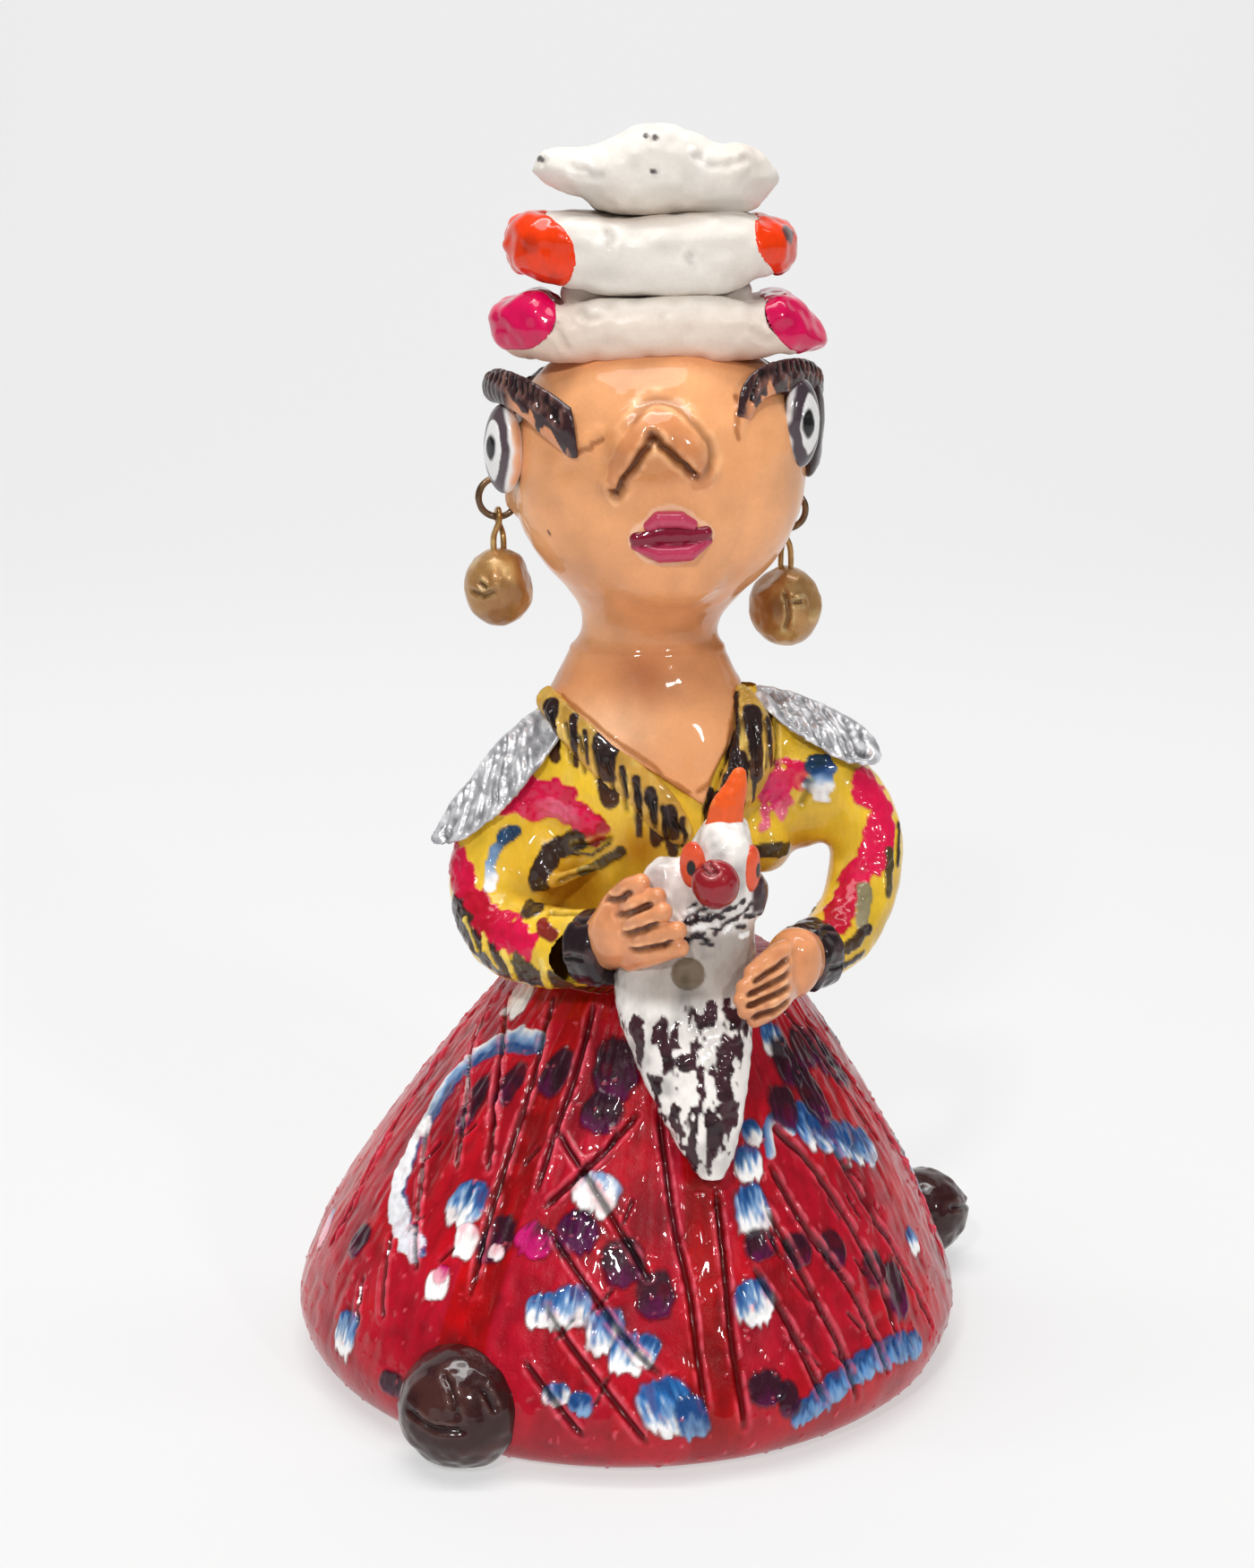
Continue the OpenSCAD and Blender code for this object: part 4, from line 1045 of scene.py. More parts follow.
CHEST_STROKES = (
    # path as x, z; width; colours; how ragged
    (((-19.5, 95), (-16, 96), (-12, 95.6), (-8.4, 93.4), (-5.6, 90)), 5, (ROSE, ROSE, CRIMSON), 0.45),
    (((-15, 93), (-10, 93), (-6.6, 91.6)), 3.4, (ROSE, (226, 96, 128), ROSE), 0.6),
    (((26.6, 98.6), (24.4, 96.6), (22.6, 95.4)), 5.2, (ROSE, (206, 40, 100)), 0.45),
    (((22.6, 95), (22.4, 91)), 1.8, ((206, 40, 90), (224, 110, 130)), 0.6),
    (((25.4, 95), (25.2, 92)), 1.6, ((206, 40, 90), (224, 110, 130)), 0.6),
    (((-28, 84.6), (-26.8, 81), (-24.4, 77.8), (-21, 76.4), (-17, 75.6)), 5.6, (ROSE, CRIMSON, ROSE), 0.42),
    (((38.6, 97.4), (41, 93.6), (41.2, 89.4), (39.8, 86), (37, 83.6), (35, 80.4), (33.4, 77.4)), 5.2,
     (ROSE, ROSE, CRIMSON), 0.42),
    (((-19, 89.4), (-21.6, 86.4), (-22, 82)), 1.9, ((36, 74, 110), PALE_BLUE, WHITE), 0.4),
    (((-17.8, 89.8), (-20, 89)), 2.2, ((30, 60, 92), (36, 74, 110)), 0.4),
    (((31.2, 100), (31, 97)), 4.4, ((20, 48, 70), BLUE, PALE_BLUE, WHITE), 0.4),
    (((29.2, 98), (29.4, 95.6)), 1.6, ((52, 110, 140), WHITE), 0.4),
    (((-8.2, 88.6), (-11.6, 86.4), (-14.2, 83.4), (-14.8, 79.6)), 3.6, ((58, 40, 26), DARK, (58, 40, 26)),
     0.16),
    (((-13.6, 78.6), (-12, 77.6)), 2.4, ((132, 30, 24), (120, 40, 28)), 0.2),
    (((-7.4, 84.2), (-4.4, 85.2), (-1.4, 87.4)), 1.9, ((92, 72, 26), (66, 48, 24)), 0.2),
    (((-9.4, 86), (-6, 86.6), (-3, 88.6)), 0.6, (DARK, DARK), 0.3),
    (((20, 86.2), (23, 86.6), (26, 86.4)), 2.5, ((66, 50, 34), (84, 66, 34)), 0.15),
    (((42.4, 86.4), (42.4, 80)), 1.7, ((70, 58, 34), (84, 70, 40)), 0.2),
    (((44.2, 90), (44, 84)), 1.1, ((52, 44, 32), (52, 44, 32)), 0.2),
    (((38.2, 81.4), (37.6, 77)), 2.6, ((128, 118, 84), (150, 140, 110)), 0.25),
    (((38.6, 75.6), (35.4, 73.4)), 2.2, (DARK, (70, 50, 30)), 0.25),
    (((37.8, 71.2), (34.4, 70)), 1.6, (DARK, DARK), 0.25),
    (((-27.6, 77), (-25, 73), (-21, 70.4), (-15.6, 69.4), (-11, 69.4)), 5, (DARK, (74, 56, 34)), 0.3),
    (((-21.4, 73.4), (-19.4, 69.6)), 1.4, (DARK, (84, 66, 40)), 0.3),
    (((-17.4, 73), (-16, 68.6)), 2.4, ((84, 70, 44), DARK), 0.3),
    (((-24.4, 75), (-22.4, 71.6)), 1.2, (DARK, DARK), 0.3),
    (((-13.6, 73), (-12.2, 67.6)), 1.2, ((230, 200, 100), YELLOW), 0.3),
    (((-19.6, 73.4), (-17.6, 68.4)), 1.1, ((230, 200, 100), YELLOW), 0.3),
    (((-23, 75), (-20.8, 70)), 0.9, ((226, 196, 90), YELLOW), 0.3),
    (((-26, 76.6), (-24, 72)), 0.8, ((226, 196, 90), YELLOW), 0.3),
)
COLLAR_MARKS = (
    # x, z of the top, lean, length, width
    (-12.6, 109.6, 0.3, 7.6, 3.2), (-9, 108.6, 0.2, 7.4, 1.6), (-6.9, 106.8, 0.15, 5.4, 0.9),
    (-3.9, 104.8, 0.25, 8.8, 4.2), (-0.9, 101.6, 0.2, 5, 1.1), (1.2, 99.8, 0.15, 9.6, 1.8),
    (3.4, 97.8, 0.25, 9, 2.2), (5.4, 95.4, 0.2, 6, 1.1), (7, 94.8, 0.2, 7.4, 2.5), (9, 93.6, 0.1, 5, 1.1),
    (17.2, 112, 0.1, 8, 1.2), (20.2, 109, 0.25, 9.6, 3.5), (23, 107.6, 0.15, 7, 1.3),
    (16.6, 106, -0.05, 9, 1.5), (18.2, 102.6, 0.1, 7.4, 3), (15.8, 100, -0.3, 7.6, 1.6),
    (13.6, 97, -0.3, 5.4, 1.9), (20.8, 99, -0.2, 4, 1.2),
)


def paint_front(skin):
    """The red, blue and dark strokes on the front of the blouse and of the sleeves."""
    for path, width, colours, ragged in CHEST_STROKES:
        skin.stroke(skin.bend(path), width, colours, ragged=ragged, lift=0.22, facing=(0, -1, 0.1))


def mark_collar(skin):
    """Pressed lines and dark strokes that run down across both bands of the collar."""
    left = [(-12.4 + 2.2 * k, 109.6 - 1.75 * k) for k in range(10)]
    lines = [[(x, z), (x + 0.6, z - 3), (x + 1.1, z - 6.5)] for x, z in left]
    lines += [[(16.6 + 1.9 * k, 109 - 0.4 * k), (17.6 + 1.7 * k, 101 - 0.4 * k)] for k in range(5)]
    for path in lines:
        skin.groove(skin.on_front(path), 0.36, 0.45, 0.3, 0.5, (246, 214, 124))
    for x, z, slant, length, width in COLLAR_MARKS:
        line = skin.on_front([(x + slant * t * 0.4 * length, z - length * t) for t in (0, 0.3, 0.6, 1)])
        skin.stroke(line, width, (DARK, (30, 18, 18), (74, 44, 26)), ragged=0.3, lift=0.05, grain=1.6,
                    taper=0.3)


def side_and_back_strokes(skin):
    """The back of the blouse and of the arms, in the manner of the front."""
    kinds = ((4.8, (ROSE, CRIMSON)), (1.8, (DARK, (70, 50, 30))), (2.8, (BLUE, PALE_BLUE, WHITE)),
             (3.6, (ROSE, ROSE)))
    rng = np.random.default_rng(5)
    for k in range(64):
        x, z = rng.uniform(-28, 44), rng.uniform(70, 106)
        width, colours = kinds[k % len(kinds)]
        line = skin.on_front([(x, z), (x + rng.uniform(-3, 3), z - 3), (x + rng.uniform(-5, 5), z - 7)],
                             BACK)
        skin.stroke(line, width, colours, ragged=0.4, lift=0.2, facing=BACK)


def blouse_clay():
    """The upper body with both sleeves, and the folds of cloth beside the neckline."""
    clay = Clay((-31, -26, 64), (47, 17, 112), 0.36)
    clay.add(loft(BLOUSE), 0.1)
    clay.add(smooth_rope(LEFT_ARM, LEFT_ARM_R), 3.5)
    clay.add(smooth_rope(RIGHT_ARM, RIGHT_ARM_R), 3)
    # a fold in front, and the swellings where the sleeves meet the body
    clay.add(rope([(-12, -11.4, 82), (-6, -12.6, 84.4)], (1.2, 0.8)), 2)
    clay.add(ball((-13.4, -5.4, 82.6), (4, 5.4, 6.6)), 2.5)
    clay.add(ball((27.4, -1, 91.6), (7.4, 5.8, 6.6)), 3)
    clay.add(ball((22, -4, 87.6), (5, 6, 5.8)), 2)
    for path, radius in (([(-8, 0, 108.8), (-13, -1, 104.6)], 3.6),
                         ([(18.6, 0.4, 108.8), (24, -0.4, 104.8)], 3.8)):
        clay.add(keep(rope(path, radius), lambda p: -neckline(p)), 2)
    clay.cut(below(65.6), 0.2)
    return clay


def build_blouse():
    skin = blouse_clay().skin(YELLOW, lumps=0.24, size=7)
    paint_yellow(skin)
    # Painted shade in the crook of the left arm, inside the right arm and under the bust.
    for at, reach in (((-9, -11, 80.6), 6), ((27, -4, 86), 4.6), ((2, -13, 88), 4)):
        d = np.linalg.norm(skin.points - vec(*at), axis=1)
        skin.tint((176, 100, 12), 0.75 * np.exp(-(d / reach) ** 2))
    paint_front(skin)
    side_and_back_strokes(skin)
    mark_collar(skin)
    for path in (((-11.4, 82), (-8.6, 83.4), (-5, 83.6)), ((-12.6, 79.6), (-10, 81), (-7, 80.6)),
                 ((-8.6, 87.4), (-5.6, 88), (-2.6, 89.6)), ((27.6, 93.6), (28.6, 96), (28.2, 98))):
        skin.groove(skin.bend(path), 0.5, 0.6, 0.2, 0.5, (236, 206, 110))
    # Painted shade in the hollows, and a painted highlight on what stands high.
    skin.shade_hollows(0.25)
    finish("blouse", skin, "blouse_paint", ["blouse_body", "left_sleeve", "right_sleeve"], coat=0.65,
           bump=0.3, mottle=0.14)


def build_collar(name, path, radii, flat):
    """One band of the collar, which lies round the edge of the bare skin."""
    clay = Clay.about(path, 5, 0.28)
    clay.add(keep(smooth_rope(path, radii, flat, 0.36), lambda p: -neckline(p) - 0.1), 0.3)
    skin = clay.skin((204, 156, 66), lumps=0.12, size=3)
    skin.cloud((236, 204, 110), 0.5, 0, 0.7, 0.9, 4, (1, 1, 0.3))
    mark_collar(skin)
    # Painted shade in the hollows, and a painted highlight on what stands high.
    skin.shade_hollows(0.5)
    finish(name, skin, "collar_paint", coat=0.65, bump=0.3)


def build_ruffle(name, path, radii, normal, seed, depth, dark):
    """A thin leaf of clay, embossed with ribs that slant down to a fringe, in silver paint."""
    points, n = vec(*path), unit(vec(*normal))
    clay = Clay.about(points, 9, 0.28)
    clay.add(smooth_rope(path, radii, normal, 0.2), 0.4)
    skin = clay.skin((186, 186, 190), lumps=0.2, size=3)
    line = curve(np.column_stack([points, radii]), 8)
    across = unit(np.cross(unit(points[-1] - points[0]), n))
    across *= np.sign(across[2])
    rng = np.random.default_rng(seed)
    last, ribs = len(line) - 1, 13
    for k in range(ribs):
        top = int(last * (k / ribs - 0.12))
        rib = []
        for t in np.linspace(0, 1, 6):
            at = line[min(max(top + int(t * 0.42 * last), 0), last)]
            rib.append(at[:3] + across * at[3] * (0.75 - 1.8 * t) + n * 1.2)
        skin.groove(skin.on_surface(rib), 0.42 * rng.uniform(0.8, 1.2), depth, 0.3, dark, (250, 250, 252))
    crinkle = noise(skin.points, 1.3, seed)
    skin.lift += 0.12 * crinkle
    # Painted shade in the low crinkles, and painted highlights on the high ones.
    skin.tint((84, 82, 88), 0.5 * ease(-0.05, -0.6, crinkle))
    skin.tint((248, 248, 250), 0.7 * ease(0.15, 0.6, crinkle))
    finish(name, skin, "silver_paint", kind="silver", rough=0.28, coat=0.8, coat_rough=0.05, metal=0.3,
           bump=0.35, mottle=0.14)


def build_cuff(name, centre, way, radius, seed):
    """A short dark cylinder round the wrist, with six furrows along it."""
    clay = Clay.about(centre, 9.5, 0.28)
    clay.add(puck(centre, way, radius, 3.1, 1.3), 0.3)
    skin = clay.skin((34, 20, 24), lumps=0.3, size=3.5)
    skin.cloud((92, 70, 72), 0.6, 0.2, 0.8, 2.4, seed)
    w = unit(vec(*way))
    side = unit(np.cross(w, (0, 0, 1)))
    up = np.cross(side, w)
    for k in range(6):
        a = k / 6 * math.tau + 0.2 * seed
        edge = vec(*centre) + radius * (side * math.cos(a) + up * math.sin(a))
        skin.groove(skin.on_surface([edge - 2.3 * w, edge + 0.9 * side, edge + 2.3 * w]), 0.4, 0.35, 0.26,
                    0.4, (110, 92, 92))
    finish(name, skin, "dark_paint", rough=0.26, coat=0.8, bump=0.35)


def build_hand(name, lumps, fingers, gaps):
    """A palm of soft lumps with fingers on it, and furrows with painted shade between the fingers."""
    clay = Clay.about(np.concatenate([path for path, radii in lumps + fingers]), 8, 0.26)
    for path, radii in lumps:
        clay.add(rope(path, radii), 2)
    for path, radii in fingers:
        clay.add(smooth_rope(path, radii), 0.5)
    skin = clay.skin(SKIN, lumps=0.1, size=4)
    skin.tint((202, 120, 82), 0.45 + 0.3 * ease(0, 0.8, noise(skin.points, 4, 3)))
    for k, path in enumerate(gaps):
        line = skin.on_surface(curve(path, 6))
        skin.groove(line, 0.42, 0.8, 0.2, 0.35, SKIN_LIGHT)
        # A line of painted shade in each furrow between the fingers.
        skin.stroke(line[2 + k % 2:], 0.5 + 0.12 * (k % 2), ((124, 58, 34),), lift=0, strength=0.75,
                    taper=-0.4)
    # Painted shade in the hollows, and a painted highlight on what stands high.
    skin.shade_hollows(0.4)
    finish(name, skin, "skin_paint", coat=0.7, coat_rough=0.07, bump=0.16, mottle=0.08)


LEFT_PALM = (([(-3.2, -25.6, 76.4), (-1, -28, 79.4)], (4.6, 4.6)),
             ([(-0.6, -28.8, 78), (0, -29, 82)], (4.2, 4)))
LEFT_FINGERS = (
    ([(-2.2, -27, 82.6), (0, -31.6, 86.4), (2.2, -34, 88.4)], (2.1, 1.9, 1.4)),
    ([(-1, -29.4, 81.4), (1.8, -33.8, 85), (4.6, -35.6, 86.8)], (2.1, 1.8, 1.4)),
    ([(-0.2, -30.8, 79.4), (2.6, -35, 82.9), (5.4, -36.6, 84.6)], (2.1, 1.8, 1.5)),
    ([(0.4, -31.2, 77.4), (4, -35.4, 80.5), (7.6, -37, 81.8)], (2.1, 1.9, 1.5)),
    ([(0.6, -30.6, 75.4), (4.4, -34.8, 77.8), (8, -36.6, 79)], (2.1, 1.9, 1.4)))
LEFT_GAPS = (((-2.2, -29.4, 84), (1, -33.4, 87.4)), ((-0.8, -31.4, 82.6), (3.8, -35.8, 86)),
             ((0, -33.2, 80.4), (4.4, -36.8, 83.4)), ((0.8, -34, 78), (6.6, -37.4, 80.4)))
RIGHT_PALM = (([(28.8, -19.2, 72.4), (26.4, -23.2, 72.8)], (4.4, 4.3)),
              ([(26, -24.6, 74.4), (25.6, -25.4, 71)], (3.7, 3.7)))
RIGHT_FINGERS = (
    ([(26.2, -24, 75.4), (22.6, -30.4, 75.6), (19, -35, 74.4)], (1.9, 1.7, 1.4)),
    ([(25.6, -25.6, 73.8), (21.8, -32.4, 73.6), (17.8, -36.6, 72.6)], (1.9, 1.8, 1.4)),
    ([(25.4, -26.4, 72), (21.8, -33.2, 71.7), (17.4, -37.2, 70.9)], (1.9, 1.8, 1.4)),
    ([(25.4, -26.6, 70.4), (22, -33.6, 69.8), (18, -37.4, 69.2)], (1.9, 1.8, 1.4)),
    ([(25.4, -26, 69.4), (22.4, -33, 68.2), (19.4, -36.6, 67.6)], (1.8, 1.6, 1.3)))
RIGHT_GAPS = (((24.4, -30, 74.9), (19.2, -36.8, 73.6)), ((24.4, -30.8, 73), (18.2, -37.8, 71.8)),
              ((24.4, -31.4, 71.1), (18.2, -38.2, 70.1)), ((24.2, -31.6, 69.3), (19, -37.8, 68.4)))


def build_torso():
    build_blouse()
    build_collar("left_collar", COLLAR_LEFT, (2.4, 3, 3.2, 3.3, 3.5, 2.4), (-0.3, -0.95, 0.1))
    build_collar("right_collar", COLLAR_RIGHT, (2, 3.5, 4.2, 3.9, 2.3), (0.55, -0.83, 0.1))
    build_ruffle("left_shoulder_ruffle", ((-14.6, -4.4, 104.4), (-18, -5.4, 100.8), (-22, -6, 96),
                                          (-26.4, -6.4, 91.4), (-30, -6.4, 88.4)),
                 (4.8, 5.4, 5.2, 4.2, 1.8), (-0.5, -0.6, 0.62), 3, 0.25, 0.15)
    build_ruffle("right_shoulder_ruffle", ((21.8, -1.6, 110.4), (26, -2.8, 108.6), (31, -3.6, 106),
                                           (36, -4, 103.2), (39, -4, 101.6)),
                 (2, 3.7, 4.6, 4.6, 2.2), (0.3, -0.56, 0.77), 4, 0.45, 0.5)
    build_cuff("left_cuff", (-4, -24.6, 75.2), (4.4, -4.2, 0.8), 6.1, 5)
    build_cuff("right_cuff", (28.8, -18.6, 72), (-3.4, -4.2, 0.2), 5.6, 6)
    build_hand("left_hand", LEFT_PALM, LEFT_FINGERS, LEFT_GAPS)
    build_hand("right_hand", RIGHT_PALM, RIGHT_FINGERS, RIGHT_GAPS)


# ---- turkey

TURKEY = ((43.5, 13, -40.2, 1.8, 1.6), (47, 12.5, -39, 4, 3.2), (51, 11.8, -37.2, 5.8, 4.6),
          (56, 10.8, -34.8, 7.6, 5.8), (61, 9.8, -32, 9.2, 6.8), (65, 9.2, -29.6, 10.3, 7.6),
          (69, 9, -27.6, 11, 8), (73, 9, -26.6, 11, 8.2), (77, 10, -26.4, 10, 7.8),
          (81, 11.5, -26.4, 8.2, 7.2), (85, 13.2, -27.4, 6.8, 6.8), (89, 13.8, -28.4, 6.2, 7),
          (93, 14.6, -28.8, 4.6, 6.2), (96, 15, -28.8, 3.5, 4.4), (97.4, 15.2, -28.8, 2.2, 2.4))
PLUM, BONE = (62, 34, 42), (238, 232, 226)


def paint_feathers(skin):
    """Dark feathers down the breast, bare in the middle and along both edges."""
    p = skin.points
    neck = ease(68, 71, p[:, 2]) * ease(82, 79, p[:, 2])
    skin.tint((170, 160, 152), neck * ease(-0.9, 0.1, noise(p, 7, 4)))
    streak = noise(p * vec(1, 0.6, 0.34), 1.35, 8) + 0.5 * noise(p * vec(1, 1, 0.6), 0.6, 9)
    feathers = ease(70.6, 66.5, p[:, 2]) * ease(44, 47, p[:, 2]) - 0.8 * spot_at(p, 10.5, 58, 2.6, 6.5)
    edge = np.abs((p[:, 0] - np.interp(p[:, 2], (43.5, 61, 73), (12.6, 9.8, 9)))
                  / np.interp(p[:, 2], (43.5, 51, 61, 73), (2.5, 5.8, 9.2, 11)))
    feathers *= ease(0.95, 0.82, edge) * 0.9 + 0.1
    dark = ease(0.02, 0.22, streak + 0.65 * (feathers - 0.62)) * (feathers > 0.05)
    skin.tint(PLUM, dark)
    skin.lift += 0.22 * dark * (0.4 + noise(p, 0.9, 3))
    skin.tint((28, 18, 22), 0.7 * dark * ease(0, 0.6, noise(p, 2.4, 5)))


def speckle_neck(skin):
    """A ruff of short dark and white strokes round the neck."""
    for path in (((4, 79), (8, 81.6), (11.6, 82.6), (15, 82.8)), ((12, 82), (15, 83.4), (18, 85)),
                 ((6.4, 80.4), (9.6, 82.6)), ((13.6, 80.6), (16.4, 82), (19, 84)), ((9, 83), (12, 84.2))):
        skin.stroke(skin.bend(path), 0.9, (PLUM, (30, 22, 28)), ragged=0.9, grain=0.7)
    rng = np.random.default_rng(8)
    for k in range(22):
        x, z = rng.uniform(4, 19), rng.uniform(78.6, 84)
        line = skin.on_front([(x, z), (x + rng.uniform(0.6, 2), z + rng.uniform(-0.6, 1.2))])
        colour = (246, 244, 242) if k % 3 == 2 else (34, 24, 30)
        skin.stroke(line, 0.8, (colour,), ragged=0.7, grain=0.7, lift=0.25)


def build_turkey():
    clay = Clay((-6, -46, 41), (26, -14, 100), 0.3)
    clay.add(loft(TURKEY), 0.1)
    clay.add(ball((19.2, -28.2, 85), (2.4, 3.6, 3.8)), 1.2)
    clay.add(ball((5.8, -29.2, 86.2), (3.6, 3.6, 5)), 2)
    skin = clay.skin(BONE, lumps=0.3, size=4)
    p = skin.points
    paint_feathers(skin)
    speckle_neck(skin)
    skin.tint(PLUM, ease(18.6, 19.4, p[:, 0]) * ease(82, 83.4, p[:, 2]) * ease(89, 88, p[:, 2]))
    # a round spot on the breast, and a blush on the head
    spot = np.hypot(p[:, 0] - 9.3, p[:, 2] - 74.2) + 0.15 * noise(p, 2, 2)
    round_spot = ease(2.75, 2.45, spot) * (p[:, 1] < -30)
    skin.tint((106, 90, 72), round_spot)
    skin.lift += 0.12 * round_spot
    skin.tint((226, 196, 188), 0.5 * ease(84, 87, p[:, 2]) * ease(0, 0.7, noise(p, 4, 3)))
    # Painted shade in the hollows, and a painted highlight on what stands high.
    skin.shade_hollows(0.35)
    gloss = paint("turkey_varnish", rough=0.34, coat=0.55, bump=0.4, mottle=0.12)
    piece("turkey_body", skin, gloss, ["turkey_body"])
    build_turkey_comb()
    build_turkey_snood()
    build_turkey_eye("turkey_left_eye", (9.9, -33.4, 91), 240, 2.2)
    build_turkey_eye("turkey_right_eye", (18.9, -31.8, 90), 326, 1.9)


def build_turkey_comb():
    comb = Clay((10, -34, 92), (22, -24, 108), 0.24)
    comb.add(smooth_rope([(14.6, -29.4, 95.4), (15.2, -29.8, 99), (16.4, -29.8, 102), (16.9, -29.8, 104.2)],
                         (2.9, 2.5, 1.9, 1.2), BACK, 0.75), 0.3)
    skin = comb.skin((236, 92, 34), lumps=0.15, size=3)
    skin.cloud((250, 140, 70), 0.5, 0, 0.7, 2, 3)
    gloss = paint("comb_varnish", rough=0.35, coat=0.5)
    piece("turkey_comb", skin, gloss, ["turkey_comb"])


def build_turkey_snood():
    snood = Clay((7, -43, 84), (20, -30, 96), 0.24)
    snood.add(ball((13.3, -36.2, 88.8), (3.6, 3, 3.8)), 0.3)
    skin = snood.skin((146, 22, 34), lumps=0.12, size=3)
    # Two creases, with painted highlights on their rims.
    for path in (((10.6, 92.2), (12.4, 91.4), (13.4, 92)), ((12, 93), (13.2, 91.8))):
        skin.groove(skin.bend(path), 0.35, 0.4, 0.25, 0.5, (220, 130, 130))
    gloss = paint("snood_varnish", rough=0.24, coat=0.9, coat_rough=0.05, bump=0.15)
    piece("turkey_snood", skin, gloss, ["turkey_snood"])


def build_turkey_eye(name, centre, heading, wide):
    axes = turned(heading)
    clay = Clay.about(centre, 5, 0.2)
    clay.add(ball(centre, (1.1, wide, 3.7), axes), 0.2)
    skin = clay.skin((232, 92, 58), lumps=0.06, size=2)
    q = (skin.points - vec(*centre)) @ axes
    skin.tint((20, 12, 14), ease(1.2, 0.85, np.hypot((q[:, 1] - 0.3) / 0.75, (q[:, 2] + 0.2) / 1.2)))
    skin.tint((190, 50, 30), 0.5 * ease(2.4, 3.2, np.abs(q[:, 2])))
    finish(name, skin, "turkey_eye_paint", bump=0.2)


# ---- rolls on the head

ROLL_WHITE, MAGENTA_TIP, ORANGE_TIP = (228, 221, 212), (214, 0, 82), (234, 56, 0)


def cloth_shade_and_marks(skin):
    """Beige clouds, painted shade towards the lower edge with a painted reddish reflection of the skin along
    the bottom, and four dark pits in front.
    """
    p = skin.points
    skin.cloud((214, 196, 180), 0.4, 0, 0.8, 9, 6)
    # Painted shade on the lower roll.
    skin.tint((226, 196, 172), 0.45 * ease(176, 168, p[:, 2]))
    # A painted reflection of the skin along the bottom of the lower roll.
    skin.tint((236, 180, 158), 0.5 * ease(168, 164, p[:, 2]))
    for x, z in ((4.2, 197.5), (2.8, 197.7), (-13, 194.2), (3.9, 192.5)):
        pit = ease(0.55, 0.35, np.hypot(p[:, 0] - x, p[:, 2] - z))
        skin.tint((58, 52, 54), 0.9 * pit * (p[:, 1] < 0))


def age_tip(skin):
    """Lumpy thick paint with dark clouds, and the dark spot on the orange tip at the right."""
    p = skin.points
    skin.lift += 0.3 * noise(p, 2.6, 4)
    skin.cloud((60, 20, 24), 0.35, 0.35, 0.8, 4, 8)
    spot = np.hypot(p[:, 0] - 24.6, (p[:, 2] - 183.6) / 1.8)
    skin.tint((44, 12, 12), 0.95 * ease(1.2, 0.9, spot + 0.3 * noise(p, 1, 3)) * ease(-4, -7, p[:, 1]))


def roll_part(name, shapes, box, limits, colour, material, creases=()):
    """White cloth or a painted tip: the shapes inside a box, cut off by limits."""
    clay = Clay(*box, 0.34)
    for shape, blend in shapes:
        clay.add(keep(shape, *limits), blend)
    skin = clay.skin(colour, lumps=0.5, size=6)
    for path in creases:
        skin.groove(skin.bend(path), 0.6, 0.3, 0.22, 0.12, (250, 246, 240))
    # Painted shade in the hollows, and a painted highlight on what stands high.
    skin.shade_hollows(0.1)
    # Marks for both; the cloth also gets painted shade and a painted reflection.
    tone_and_shade = cloth_shade_and_marks if colour == ROLL_WHITE else age_tip
    tone_and_shade(skin)
    piece(name, skin, material, [name])


def split_roll(name, shapes, box, cut_left, cut_right, tip_colour, materials, creases):
    """One roll as three pieces: white cloth, and two painted ends that lie over it."""
    satin, gloss = materials
    overlap, coat = 0.5, 0.2
    roll_part(name, shapes, box, (lambda p: -overlap - cut_left(p), lambda p: -overlap - cut_right(p)),
              ROLL_WHITE, satin, creases)
    coated = [((lambda p, d=distance: d(p) - coat, low, high), blend)
              for (distance, low, high), blend in shapes]
    for side, cut in (("left", cut_left), ("right", cut_right)):
        roll_part(name + "_" + side + "_tip", coated, box, (cut,), tip_colour, gloss)


LOWER_OUTLINE = ((-21, 170.4), (-19.4, 172.6), (-13.7, 174.4), (-10.2, 172.6), (-4, 173.6), (3, 174.2),
                 (12, 174), (18.2, 173.2), (24.4, 174), (28, 171), (30.7, 167), (28.4, 165.8), (22.5, 165.2),
                 (15, 164.4), (4, 164.6), (-8, 164.5), (-16, 164.8), (-20, 167))
MIDDLE_OUTLINE = ((-18.8, 181.6), (-18, 184.6), (-15.4, 186), (-8, 186.3), (0, 185.7), (7, 186.4),
                  (14, 186.9), (19, 186), (24.6, 184.6), (26.1, 181.4), (25, 177.8), (20.6, 176.8),
                  (16.4, 175.2), (10.6, 174.2), (0.2, 173.8), (-7, 175.2), (-13, 176.6), (-17.4, 178))
UPPER_OUTLINE = ((-14.4, 192.5), (-12.6, 195.3), (-7.6, 195.6), (-3.6, 196.5), (0.8, 198.9), (5, 199.6),
                 (9.6, 198.5), (14, 196.2), (17.6, 196.6), (21, 194.6), (23.1, 191.6), (21.4, 189),
                 (18.4, 186.6), (8, 186.2), (-2.4, 186.2), (-7, 188.6), (-12, 190.6))


